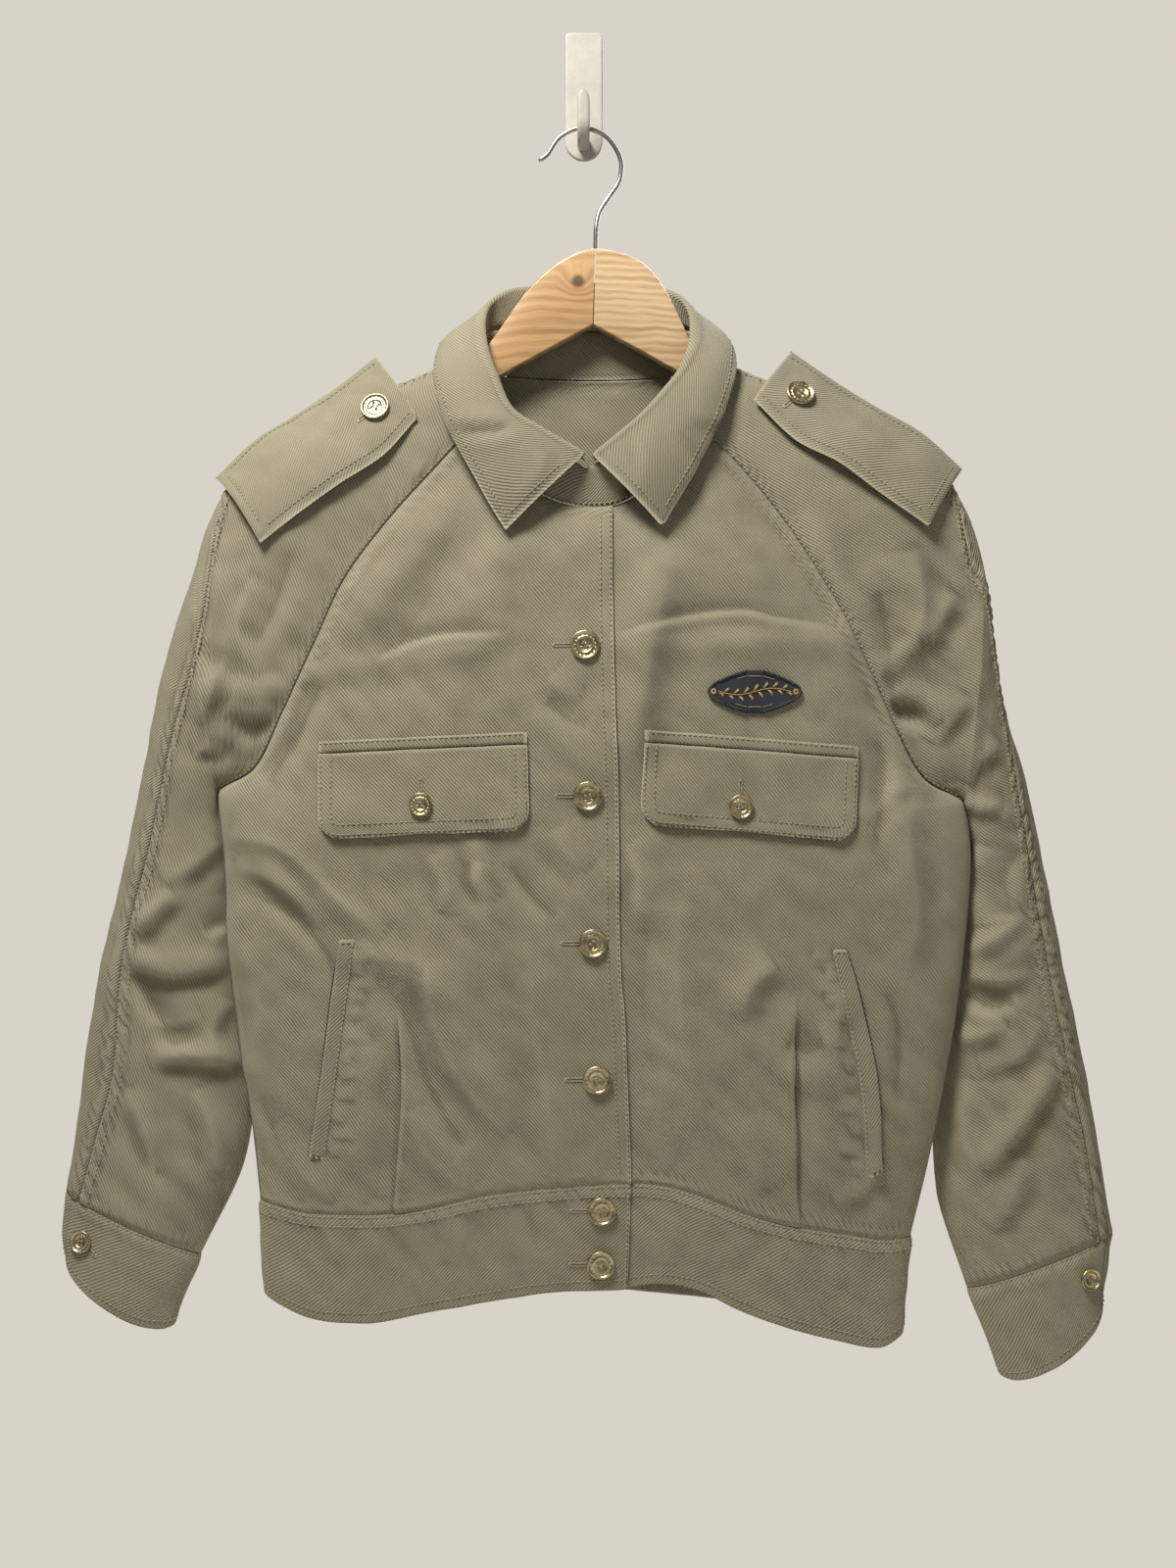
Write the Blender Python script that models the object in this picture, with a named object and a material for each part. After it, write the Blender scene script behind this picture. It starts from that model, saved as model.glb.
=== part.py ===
import math

import bpy
from mathutils import Vector
from mathutils.bvhtree import BVHTree
from mathutils.kdtree import KDTree

# The jacket hangs from a wall hook. Origin: centre of the back face of the hook's plate.
# +Z is up, +X to the viewer's right, the wall is the plane y = 0 and all of the part is at y < 0.
# Tables are in millimetres: x, z and depth, which is the distance in front of the wall.
for old in list(bpy.data.objects):
    bpy.data.objects.remove(old, do_unlink=True)

MM = 0.001
CLOTH = 1.5
FOLDED_CLOTH = 2.2
SEAM_GAP = 0.3
LAP_DROP = 2.5

# Raglan seam of the front from the neck down to the underarm at 0.56, then the side seam.
# Columns: station, x, z, depth
SEAM_RIGHT = (
    (0.00, -76.1, -233.1, 38), (0.10, -100.4, -260.1, 41), (0.20, -128.4, -292.0, 44),
    (0.30, -157.8, -332.0, 45), (0.38, -175.2, -369.2, 45), (0.46, -198.8, -419.2, 42),
    (0.52, -218.5, -455.8, 36), (0.56, -242.9, -472.0, 30), (0.66, -238.8, -517.4, 32),
    (0.76, -235.2, -582.2, 34), (0.86, -228.5, -637.1, 34), (0.94, -219.5, -692.2, 34),
    (1.00, -214.3, -739.4, 34),
)
SEAM_LEFT = (
    (0.00, 77.5, -231.8, 38), (0.10, 100.6, -254.3, 41), (0.20, 128.6, -288.2, 44),
    (0.30, 155.5, -329.4, 45), (0.38, 176.0, -365.4, 45), (0.46, 201.5, -419.2, 42),
    (0.52, 225.1, -462.3, 36), (0.56, 251.5, -477.2, 30), (0.66, 256.5, -520.7, 32),
    (0.76, 251.5, -578.9, 34), (0.86, 242.9, -640.4, 34), (0.94, 228.0, -714.8, 34),
    (1.00, 216.4, -762.8, 34),
)
# Raglan seam of the back. Columns: station, x, z, depth
BACK_RIGHT = (
    (0.00, -68.7, -189.2, 8), (0.10, -93.3, -217.4, 6.5), (0.20, -126.4, -260.4, 6.5),
    (0.30, -157.5, -313.3, 6.5), (0.38, -182.5, -359.7, 7), (0.46, -208.7, -412.7, 9),
    (0.52, -223.8, -449.1, 17), (0.56, -242.9, -472.0, 30),
)
BACK_LEFT = (
    (0.00, 79.3, -189.2, 8), (0.10, 103.9, -217.4, 6.5), (0.20, 137.0, -260.4, 6.5),
    (0.30, 168.1, -313.3, 6.5), (0.38, 193.1, -359.7, 7), (0.46, 219.3, -414.0, 9),
    (0.52, 235.6, -452.4, 17), (0.56, 251.5, -477.2, 30),
)
# Heights across the front, from the right side to the left. Columns: share of the width, z
NECK_FRONT = (
    (0.00, -233.1), (0.12, -253.0), (0.25, -270.2), (0.40, -281.4), (0.52, -284.1),
    (0.64, -282.2), (0.76, -271.6), (0.88, -254.4), (1.00, -231.8),
)
WAIST_FRONT = (
    (0.00, -739.4), (0.08, -746.5), (0.16, -746.8), (0.25, -743.0), (0.35, -733.6),
    (0.45, -728.5), (0.56, -726.0), (0.62, -727.3), (0.68, -734.9), (0.74, -745.3),
    (0.80, -752.5), (0.90, -760.3), (0.96, -764.3), (1.00, -762.8),
)
HEM_FRONT = (
    (0.00, -802.3), (0.08, -816.3), (0.16, -818.7), (0.25, -811.4), (0.35, -804.1),
    (0.45, -797.7), (0.56, -795.8), (0.62, -792.0), (0.68, -796.7), (0.74, -809.1),
    (0.80, -819.0), (0.90, -830.8), (0.96, -835.5), (1.00, -828.8),
)
# Crown of the front. Columns: station, depth
CROWN_FRONT = (
    (0.00, 47), (0.10, 52), (0.20, 56), (0.30, 58), (0.45, 60), (0.70, 60), (0.85, 59),
    (0.94, 57), (1.00, 55),
)
# Edge of the right front, which laps over the left. Columns: -z, x
FRONT_EDGE = (
    (270, 18.7), (312, 18.6), (371, 19.2), (469, 22.3), (592, 24.2), (610, 26.1),
    (670, 28.7), (724, 30.7), (795, 30.1),
)
# Sleeves. Columns: station, x, z, depth of the outer edge; crown in front, crown behind,
# share of the width at which the overarm seam runs
OUTER_RIGHT = (
    (0.00, -85.1, -182.4, 19, 0, 0, 1.00), (0.10, -112.7, -194.9, 19, 1, 0, 1.00),
    (0.20, -149.4, -209.9, 19, 2, 0, 1.00), (0.30, -186.1, -227.6, 19, 4, 0, 1.00),
    (0.38, -216.2, -245.3, 19, 6, 0, 1.00), (0.46, -240.3, -271.0, 20, 8, 1, 0.97),
    (0.52, -253.8, -300.6, 21, 13, 5, 0.82), (0.56, -261.0, -324.8, 21, 18, 14, 0.66),
    (0.66, -283.7, -401.4, 22, 21, 15, 0.73), (0.74, -300.7, -490.3, 22, 20, 14, 0.80),
    (0.82, -319.6, -573.4, 22, 20, 14, 0.84), (0.90, -332.7, -648.5, 22, 20, 14, 0.80),
    (0.96, -339.2, -700.8, 22, 20, 13, 0.86), (1.00, -345.1, -736.2, 22, 19, 12, 0.88),
)
OUTER_LEFT = (
    (0.00, 87.8, -182.4, 19, 0, 0, 1.00), (0.10, 118.0, -194.9, 19, 1, 0, 1.00),
    (0.20, 158.6, -209.9, 19, 2, 0, 1.00), (0.30, 194.0, -227.6, 19, 4, 0, 1.00),
    (0.38, 222.8, -244.0, 19, 6, 0, 1.00), (0.46, 247.5, -269.1, 20, 8, 1, 0.97),
    (0.52, 261.1, -298.7, 21, 13, 5, 0.86), (0.56, 267.0, -321.6, 21, 18, 14, 0.90),
    (0.66, 277.9, -400.1, 22, 21, 15, 0.91), (0.74, 296.8, -473.3, 22, 20, 14, 0.84),
    (0.82, 313.2, -557.0, 22, 20, 14, 0.85), (0.90, 330.8, -638.7, 22, 20, 14, 0.87),
    (0.96, 343.9, -710.7, 22, 20, 13, 0.90), (1.00, 352.4, -763.0, 22, 19, 12, 0.88),
)
# Inner edge of the sleeves below the underarm. Columns: station, x, z, depth
INNER_RIGHT = (
    (0.56, -242.9, -472.0, 30), (0.60, -241.8, -494.9, 20), (0.66, -237.5, -521.2, 16),
    (0.74, -231.0, -567.3, 15), (0.82, -226.0, -619.9, 16), (0.90, -221.5, -668.8, 16),
    (0.96, -228.7, -722.5, 17), (1.00, -255.3, -777.8, 20),
)
INNER_LEFT = (
    (0.56, 251.5, -477.2, 30), (0.60, 255.9, -498.2, 21), (0.66, 255.6, -525.8, 16),
    (0.74, 248.8, -573.9, 15), (0.82, 242.0, -626.4, 16), (0.90, 233.1, -677.7, 16),
    (0.96, 236.3, -740.9, 17), (1.00, 255.4, -800.7, 20),
)
# Cuffs. Columns: station, outer x, z, depth, inner x, z, depth, drop of the lower edge in front
CUFF_RIGHT = (
    (0.0, -345.1, -736.2, 22, -255.3, -777.8, 20, 0),
    (0.5, -347.0, -756.2, 23, -264.1, -800.2, 22, 6),
    (1.0, -343.9, -776.8, 24, -272.1, -824.5, 24, 13),
)
CUFF_LEFT = (
    (0.0, 352.4, -763.0, 22, 255.4, -800.7, 20, 0),
    (0.5, 348.0, -786.3, 23, 266.8, -828.3, 22, 6),
    (1.0, 344.0, -808.8, 24, 276.8, -858.4, 24, 13),
)
# Collar from the centre front round one side to the centre back.
# Columns: station, x, z, depth of the roll, x, z, depth of the leaf's edge,
# share of the rise at which the stand ends
COLLAR_RIGHT = (
    (0.000, 0.7, -250.4, 52, -50.8, -300.7, 57, 0.84),
    (0.100, -14.0, -241.5, 51, -62.0, -283.0, 57, 0.83),
    (0.200, -29.0, -232.5, 50, -72.0, -264.0, 55, 0.82),
    (0.300, -45.4, -221.0, 48, -84.0, -243.0, 51, 0.80),
    (0.400, -55.0, -199.0, 42, -95.0, -219.0, 45, 0.76),
    (0.455, -62.0, -178.0, 35, -99.5, -198.0, 36, 0.70),
    (0.510, -64.5, -158.0, 26, -99.5, -180.0, 26, 0.62),
    (0.565, -62.0, -143.0, 18, -93.0, -166.0, 15, 0.56),
    (0.620, -52.0, -134.0, 13, -81.0, -171.0, 7, 0.52),
    (0.720, -38.0, -130.5, 10, -58.0, -189.0, 4, 0.50),
    (0.860, -17.0, -128.5, 9, -24.0, -195.5, 4, 0.50),
    (1.000, 5.3, -128.0, 9, 5.3, -196.5, 4, 0.50),
)
COLLAR_LEFT = (
    (0.000, 5.2, -251.6, 52, 51.0, -298.8, 57, 0.84),
    (0.100, 21.0, -238.5, 51, 62.0, -280.0, 57, 0.83),
    (0.200, 36.0, -225.5, 50, 73.5, -261.0, 55, 0.82),
    (0.300, 50.7, -208.5, 47, 86.0, -236.0, 50, 0.80),
    (0.400, 62.5, -191.0, 42, 96.5, -209.0, 43, 0.76),
    (0.455, 68.5, -172.5, 35, 101.0, -189.0, 34, 0.70),
    (0.510, 69.5, -156.0, 26, 100.0, -175.0, 24, 0.62),
    (0.565, 66.0, -141.5, 18, 94.5, -167.0, 14, 0.56),
    (0.620, 57.0, -134.0, 13, 84.0, -172.0, 7, 0.52),
    (0.720, 45.0, -130.0, 10, 66.0, -189.0, 4, 0.50),
    (0.860, 26.0, -128.5, 9, 34.0, -195.5, 4, 0.50),
    (1.000, 5.3, -128.0, 9, 5.3, -196.5, 4, 0.50),
)
# Epaulettes from the neck end to the shoulder end.
# Columns: share of the length, x, z, depth of the upper edge, x, z, depth of the lower edge
EPAULETTE_RIGHT = (
    (0.00, -140.7, -178.7, 14, -109.5, -225.1, 41),
    (0.25, -166.5, -199.2, 13, -132.0, -251.5, 47),
    (0.50, -193.2, -217.6, 13, -159.7, -270.8, 50),
    (0.75, -221.6, -235.6, 14, -188.8, -291.6, 50),
    (1.00, -247.1, -261.1, 17, -211.6, -309.0, 48),
)
EPAULETTE_LEFT = (
    (0.00, 139.5, -174.1, 14, 111.6, -212.2, 41),
    (0.25, 168.6, -194.3, 13, 138.1, -240.1, 47),
    (0.50, 196.9, -212.0, 13, 167.0, -255.9, 50),
    (0.75, 227.0, -229.3, 14, 196.7, -277.9, 50),
    (1.00, 254.0, -254.2, 17, 225.9, -297.4, 48),
)
# Chest flaps with their corners clockwise from the upper left. Columns: x, z
FLAP_RIGHT = ((-172.8, -446.0), (-36.7, -439.8), (-35.4, -494.7), (-171.7, -500.5))
FLAP_LEFT = ((38.8, -438.4), (178.8, -449.0), (175.7, -502.4), (37.0, -490.6))
# Slanting pocket welts. Columns: x, z of the outer edge, x, z of the inner edge
WELT_RIGHT = (
    (-158.1, -566.5, -147.9, -565.9), (-163.7, -602.0, -152.9, -602.5),
    (-170.8, -655.0, -160.4, -657.0), (-179.2, -708.4, -168.4, -711.6),
)
WELT_LEFT = (
    (170.3, -572.9, 160.9, -572.9), (178.7, -601.6, 167.7, -604.2),
    (191.4, -660.7, 179.8, -663.5), (194.4, -718.6, 183.9, -723.7),
)
# Pleats above the waistband. Columns: -z, x
PLEAT_RIGHT = ((560, -124.0), (626, -120.7), (655, -118.6), (691, -120.0), (722, -122.7), (747, -124.1))
PLEAT_LEFT = ((560, 136.0), (630, 137.4), (667, 137.2), (691, 138.3), (732, 138.8), (756, 140.9))
# Large folds and hollows of the front. Columns: x, z of one end, x, z of the other, height, width
FOLDS = (
    (-92, -290, -150, -372, 3.5, 13), (-70, -298, -112, -395, -3.0, 14),
    (-58, -305, -60, -372, 2.5, 12), (-30, -330, -24, -410, -1.8, 14),
    (-176, -392, -60, -376, 2.0, 9), (28, -376, 160, -370, 2.0, 9),
    (52, -318, 30, -440, 3.2, 14), (82, -250, 122, -372, 3.5, 13),
    (108, -268, 168, -362, -3.4, 12), (150, -300, 178, -372, 3.4, 11),
    (-236, -500, -136, -566, 3.2, 12), (-166, -573, -84, -600, 3.0, 12),
    (-90, -600, -46, -688, 3.0, 13), (-72, -506, -62, -560, 2.4, 9),
    (190, -452, 196, -524, -2.6, 11), (122, -582, 98, -616, 2.8, 13),
    (60, -560, 64, -690, 2.4, 18), (-140, -640, -150, -716, 3.0, 13),
    (150, -650, 156, -730, 3.0, 13), (-20, -590, -14, -700, 1.8, 15),
    (-252, -400, -196, -402, 3.0, 9), (-262, -444, -226, -442, -2.6, 9),
    (-292, -560, -262, -530, 3.0, 9), (-298, -580, -238, -580, 2.8, 9),
    (-298, -588, -266, -636, -2.6, 10), (-285, -642, -232, -648, 2.8, 10),
    (196, -390, 232, -362, 3.0, 10), (206, -414, 238, -432, -2.8, 10),
    (250, -480, 284, -486, 2.8, 9), (254, -580, 296, -566, 3.0, 10),
    (250, -636, 284, -630, 2.6, 10), (262, -716, 312, -652, 3.0, 12),
)
# Hanger arms from the middle outward. Columns: x, z of the upper edge, x, z of the lower edge
ARM_RIGHT = (
    (7.6, -108.4, 5.9, -160.1), (-4.5, -111.0, -9.1, -168.3), (-19.6, -119.5, -27.7, -178.4),
    (-34.7, -133.3, -43.7, -187.2), (-47.8, -150.3, -57.7, -195.2), (-62.9, -171.6, -70.5, -201.8),
    (-82.5, -191.7, -86.5, -212.3), (-102.2, -201.5, -106.2, -222.1), (-128.4, -213.6, -132.4, -234.6),
    (-161.2, -229.0, -165.2, -250.7), (-193.9, -246.4, -197.9, -267.1), (-213.9, -260.5, -210.0, -276.2),
)
ARM_LEFT = (
    (7.9, -108.4, 6.2, -160.1), (22.3, -111.0, 24.9, -170.2), (40.0, -118.9, 42.6, -179.9),
    (53.4, -134.9, 56.6, -187.9), (63.9, -154.9, 67.2, -193.7), (74.1, -175.9, 78.2, -200.9),
    (91.4, -193.3, 94.4, -213.3), (112.1, -202.1, 116.1, -223.1), (140.3, -213.6, 144.3, -234.6),
    (172.4, -229.0, 176.4, -250.7), (204.5, -246.4, 207.5, -267.1), (223.8, -260.5, 219.9, -276.2),
)
ARM_DEPTH = 20.5
ARM_THICK = 10.0
# Wire hook from its tip to the wood. Columns: x, z, depth
WIRE = (
    (-30.2, -48.1, 17), (-24.2, -43.5, 17), (-18.3, -34.3, 17), (-11.4, -29.1, 17),
    (-3.2, -26.4, 17), (5.0, -27.1, 17), (14.5, -31.7, 17), (21.4, -40.2, 17),
    (25.0, -50.7, 17), (23.7, -61.2, 17), (18.4, -69.9, 17.5), (11.8, -79.9, 18.5),
    (9.2, -86.6, 19.5), (8.0, -95.9, 20.5), (7.7, -107.5, 20.5),
)
WIRE_RADIUS = 1.5
# Wall hook
PLATE_WIDTH = 25.2
PLATE_TOP = 43.2
PLATE_FOOT = -43.2
PLATE_THICK = 3.0
PEG_WIDTH = 8.4
# Peg seen from the side. Columns: depth, z of its centre line, half height or thickness
PEG = ((3.4, -32.2, 5.0), (12.0, -33.0, 4.4), (19.5, -32.0, 3.6), (24.0, -27.0, 2.8),
       (25.4, -18.0, 2.4), (26.0, -4.0, 2.2))
# Buttons. Columns: name, x, z, radius, what it lies on
BUTTONS = (
    ("button_front_1", 0.8, -375.4, 9.5, "front_right"),
    ("button_front_2", 2.7, -473.1, 9.5, "front_right"),
    ("button_front_3", 5.8, -568.6, 9.2, "front_right"),
    ("button_front_4", 8.4, -657.2, 9.2, "front_right"),
    ("button_band_1", 11.6, -743.1, 9.2, "waistband"), ("button_band_2", 10.9, -778.6, 9.2, "waistband"),
    ("button_flap_right", -105.5, -478.8, 7.6, "flap_right"),
    ("button_flap_left", 101.4, -480.1, 7.9, "flap_left"),
    ("button_epaulette_right", -137.4, -217.6, 9.5, "epaulette_right"),
    ("button_epaulette_left", 142.7, -207.9, 9.5, "epaulette_left"),
    ("button_cuff_right", -331.2, -767.1, 7.4, "cuff_right"),
    ("button_cuff_left", 333.0, -791.6, 7.4, "cuff_left"),
)
BUTTON_THICK = 2.6
# Chest patch: a rounded lozenge. Columns: centre x, z, half width, half height
PATCH = (111.0, -405.5, 31.0, 14.0)

ROWS = (0, 0.05, 0.1, 0.16, 0.22, 0.28, 0.34, 0.4, 0.46, 0.5, 0.53, 0.56)
BODY_ROWS = ROWS + (0.585, 0.62, 0.67, 0.72, 0.77, 0.82, 0.86, 0.9, 0.935, 0.965, 1.0)
SLEEVE_ROWS = ROWS + (0.58, 0.61, 0.65, 0.7, 0.75, 0.8, 0.85, 0.9, 0.94, 0.97, 1.0)


def at(table, key):
    """The table's columns at a key, on a smooth curve through its rows."""
    last = len(table) - 1
    key = min(max(key, table[0][0]), table[last][0])
    i = 0
    while i < last - 1 and key > table[i + 1][0]:
        i += 1
    a, b = table[i], table[i + 1]
    h = b[0] - a[0]
    t = (key - a[0]) / h
    out = []
    for c in range(1, len(a)):
        slope = (b[c] - a[c]) / h
        before = slope if i == 0 else (a[c] - table[i - 1][c]) / (a[0] - table[i - 1][0])
        after = slope if i == last - 1 else (table[i + 2][c] - b[c]) / (table[i + 2][0] - b[0])
        m0 = 0.5 * (slope + before) if slope * before > 0 else 0.0
        m1 = 0.5 * (slope + after) if slope * after > 0 else 0.0
        if abs(m0) > 3 * abs(slope):
            m0 = 3 * slope
        if abs(m1) > 3 * abs(slope):
            m1 = 3 * slope
        t2, t3 = t * t, t * t * t
        out.append((2 * t3 - 3 * t2 + 1) * a[c] + (t3 - 2 * t2 + t) * h * m0
                   + (3 * t2 - 2 * t3) * b[c] + (t3 - t2) * h * m1)
    return out


def mix(a, b, t):
    return a + (b - a) * t


def ease(a, b, t):
    t = min(max((t - a) / (b - a), 0.0), 1.0)
    return t * t * (3 - 2 * t)


def point(x, z, depth):
    return Vector((x, -depth, z))


def relief(x, z):
    """Height of the large folds at a place on the front."""
    total = 0.0
    for ax, az, bx, bz, height, width in FOLDS:
        dx, dz = bx - ax, bz - az
        length = math.hypot(dx, dz)
        along = ((x - ax) * dx + (z - az) * dz) / length
        across = ((x - ax) * dz - (z - az) * dx) / length
        if abs(across) > 3 * width or along < -0.3 * length or along > 1.3 * length:
            continue
        ends = ease(-0.25, 0.2, along / length) * (1 - ease(0.8, 1.25, along / length))
        total += height * ends * math.exp(-(across / width) ** 2)
    return total


def side_rows(side):
    return (SEAM_RIGHT, BACK_RIGHT, OUTER_RIGHT, INNER_RIGHT) if side < 0 else (
        SEAM_LEFT, BACK_LEFT, OUTER_LEFT, INNER_LEFT)


def crown_shape(u, v):
    a = abs(2 * u - 1)
    w = ease(0.40, 0.60, v)
    return mix(1 - a ** 2.2, (1 - a ** 2.7) ** (1 / 2.7), w)


def pleat_step(x, z, v):
    """The lap of a pleat: raised on its inner side, pressed down on its outer side."""
    total = 0.0
    strength = 3.2 * ease(0.80, 0.90, v) * (1 - 0.75 * ease(0.95, 1.0, v))
    if strength > 0:
        for table, inner in ((PLEAT_RIGHT, 1), (PLEAT_LEFT, -1)):
            gap = (x - at(table, -z)[0]) * inner
            if gap > 0:
                total += strength * math.exp(-gap / 16)
            else:
                total -= 0.4 * strength * math.exp(gap / 16)
    return total


def front_point(u, v):
    lx, lz, ld = at(SEAM_RIGHT, v)
    rx, rz, rd = at(SEAM_LEFT, v)
    x = mix(lx, rx, u)
    top = at(NECK_FRONT, u)[0] - mix(NECK_FRONT[0][1], NECK_FRONT[-1][1], u)
    foot = at(WAIST_FRONT, u)[0] - mix(WAIST_FRONT[0][1], WAIST_FRONT[-1][1], u)
    z = mix(lz, rz, u) + (1 - v) ** 1.5 * top + v * foot
    side = mix(ld, rd, u)
    shape = crown_shape(u, v)
    depth = side + (at(CROWN_FRONT, v)[0] - side) * shape
    low = ease(0.46, 0.56, v)
    edge = min(u, 1 - u)
    fade = ease(0.0, 0.05, v) * (1 - ease(0.95, 1.0, v)) * mix(1, ease(0.0, 0.09, edge), low)
    return point(x, z, depth + relief(x, z) * fade + pleat_step(x, z, v))


def edge_share(v, offset=0.0):
    """Share of the front's width at which the right front's edge lies."""
    low, high = 0.3, 0.8
    for _ in range(24):
        mid = 0.5 * (low + high)
        p = front_point(mid, v)
        if p.x < at(FRONT_EDGE, -p.z)[0] + offset:
            low = mid
        else:
            high = mid
    return 0.5 * (low + high)


def under_lap(p):
    """A point of the left front, pressed back where the right front covers it."""
    gap = p.x - at(FRONT_EDGE, -p.z)[0]
    drop = LAP_DROP * (1 - ease(1.0, 24.0, gap))
    return p + Vector((0, drop, 0))


def back_side(side, v):
    seam, back, _, _ = side_rows(side)
    return at(back, v) if v <= 0.56 else at(seam, v)


def back_point(u, v):
    lx, lz, ld = back_side(-1, v)
    rx, rz, rd = back_side(1, v)
    x = mix(lx, rx, u)
    dip = 4 * u * (1 - u)
    z = mix(lz, rz, u) - 4.4 * dip * (1 - v) ** 2 + 3.0 * dip * v
    side = mix(ld, rd, u)
    a = abs(2 * u - 1)
    shape = mix(1 - a ** 2.2, (1 - a ** 2.2) ** (1 / 2.2), ease(0.44, 0.60, v))
    sway = 1.2 * math.sin(9 * u + 5 * v) * shape * ease(0.1, 0.3, v) * (1 - ease(0.85, 1.0, v))
    return point(x, z, side + (6.5 - side) * shape + max(sway, -0.8))


def sleeve_point(side, t, ring):
    """Ring 0 is the front raglan seam or inner edge, 1 the outer edge, 2 the back seam."""
    seam, back, outer, inner = side_rows(side)
    ox, oz, od, front_crown, back_crown, _ = at(outer, t)
    w = ease(0.36, 0.60, t)
    if t <= 0.56:
        sx, sz, sd = at(seam, t) if ring <= 1 else at(back, t)
    else:
        sx, sz, sd = at(inner, t)
    if ring <= 1:
        pos = mix(math.sin(math.pi * ring / 2), (1 - math.cos(math.pi * ring)) / 2, w)
        depth = mix(od + (sd - od) * math.cos(math.pi * ring / 2), mix(sd, od, pos), w)
        depth += front_crown * math.sin(math.pi * ring)
        x, z = mix(sx, ox, pos), mix(sz, oz, pos)
        fade = ease(0.0, 0.05, t) * (1 - ease(0.95, 1.0, t)) * (1 - ease(0.75, 1.0, ring))
        fade *= mix(1, ease(0.0, 0.2, ring), ease(0.46, 0.56, t))
        depth += relief(x, z) * fade
    else:
        r = ring - 1
        bend = min(2.2 * abs(sd - od) / max(math.hypot(ox - sx, oz - sz), 1.0), 0.8)
        turned = min(r / 0.35, 1.0)
        near = mix(bend, 1.0, (r - 0.35) / 0.65)
        if r < 0.35:
            near = bend * (1 - math.cos(math.pi * turned / 2))
        pos = mix(near, (1 - math.cos(math.pi * r)) / 2, w)
        depth = mix(od + (sd - od) * math.sin(math.pi * turned / 2), mix(od, sd, pos), w)
        depth -= back_crown * math.sin(math.pi * r)
        x, z = mix(ox, sx, pos), mix(oz, sz, pos)
    return point(x, z, depth)


def overarm_ring(side, t):
    outer = OUTER_RIGHT if side < 0 else OUTER_LEFT
    share = at(outer, t)[5]
    w = ease(0.36, 0.60, t)
    low, high = 0.0, 1.0
    for _ in range(24):
        mid = 0.5 * (low + high)
        pos = mix(math.sin(math.pi * mid / 2), (1 - math.cos(math.pi * mid)) / 2, w)
        if pos < share:
            low = mid
        else:
            high = mid
    return 0.5 * (low + high)


def cuff_point(side, r, ring):
    ox, oz, od, ix, iz, idp, drop = at(CUFF_RIGHT if side < 0 else CUFF_LEFT, r)
    if ring <= 1:
        pos = (1 - math.cos(math.pi * ring)) / 2
        depth = mix(idp, od, pos) + mix(19, 18, r) * math.sin(math.pi * ring)
        fall = drop * math.sin(math.pi * ring)
        x, z = mix(ix, ox, pos), mix(iz, oz, pos)
    else:
        q = ring - 1
        pos = (1 - math.cos(math.pi * q)) / 2
        depth = mix(od, idp, pos) - mix(12, 14, r) * math.sin(math.pi * q)
        fall = 0.25 * drop * math.sin(math.pi * q)
        x, z = mix(ox, ix, pos), mix(oz, iz, pos)
    cx, cz = ox - ix, oz - iz
    length = math.hypot(cx, cz)
    nx, nz = (cz / length, -cx / length)
    if nz > 0:
        nx, nz = -nx, -nz
    return point(x + nx * fall, z + nz * fall, depth)


def band_front(u, r):
    x = mix(mix(-214.3, -211.7, r), mix(216.4, 210.5, r), u)
    z = mix(at(WAIST_FRONT, u)[0], at(HEM_FRONT, u)[0], r)
    a = abs(2 * u - 1)
    depth = 34 + (mix(55, 51, r) - 34) * (1 - a ** 2.7) ** (1 / 2.7)
    return point(x, z, depth)


def band_back(u, r):
    x = mix(mix(-214.3, -211.7, r), mix(216.4, 210.5, r), u)
    z = mix(mix(-739.4, -762.8, u), mix(-802.3, -828.8, u), r) + 4 * u * (1 - u) * mix(3.0, 11.0, r)
    a = abs(2 * u - 1)
    depth = 34 + (6.5 - 34) * (1 - a ** 2.2) ** (1 / 2.2)
    return point(x, z, depth)


# Finishes. Columns: start of the piece's name, material, colour, roughness, metallic
FINISHES = (
    ("button_", "brass", (0.62, 0.42, 0.17), 0.34, 1.0),
    ("chest_patch", "patch_cloth", (0.03, 0.035, 0.055), 0.85, 0.0),
    ("hanger_arm_", "beech", (0.62, 0.42, 0.24), 0.42, 0.0),
    ("hanger_hook", "steel_wire", (0.62, 0.60, 0.57), 0.30, 1.0),
    ("wall_hook_", "cream_paint", (0.78, 0.72, 0.58), 0.45, 0.0),
    ("", "khaki_twill", (0.22, 0.19, 0.11), 0.88, 0.0),
)
collection = bpy.data.collections.new("jacket_on_hanger")
bpy.context.scene.collection.children.link(collection)


def finish_for(name):
    start, title, colour, roughness, metallic = next(f for f in FINISHES if name.startswith(f[0]))
    material = bpy.data.materials.get(title)
    if material is None:
        material = bpy.data.materials.new(title)
        material.use_nodes = True
        shader = material.node_tree.nodes["Principled BSDF"]
        shader.inputs["Base Color"].default_value = (*colour, 1.0)
        shader.inputs["Roughness"].default_value = roughness
        shader.inputs["Metallic"].default_value = metallic
    return material


# Walls
skins = {}
RIM_ORDER = Vector((0.31, 0.17, 1.0))
seam_points = []
seam_normals = []
seam_tree = [None]


def share_normals(panels):
    """Keeps the directions of all panels that meet at a seam point."""
    for grid, flip in panels:
        normals = grid_normals(grid)
        sign = -1 if flip else 1
        for i, line in enumerate(grid):
            for j, p in enumerate(line):
                if i in (0, len(grid) - 1) or j in (0, len(line) - 1):
                    seam_points.append(p.copy())
                    seam_normals.append(normals[i][j] * sign)
    tree = KDTree(len(seam_points))
    for k, p in enumerate(seam_points):
        tree.insert(p, k)
    tree.balance()
    seam_tree[0] = tree


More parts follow.
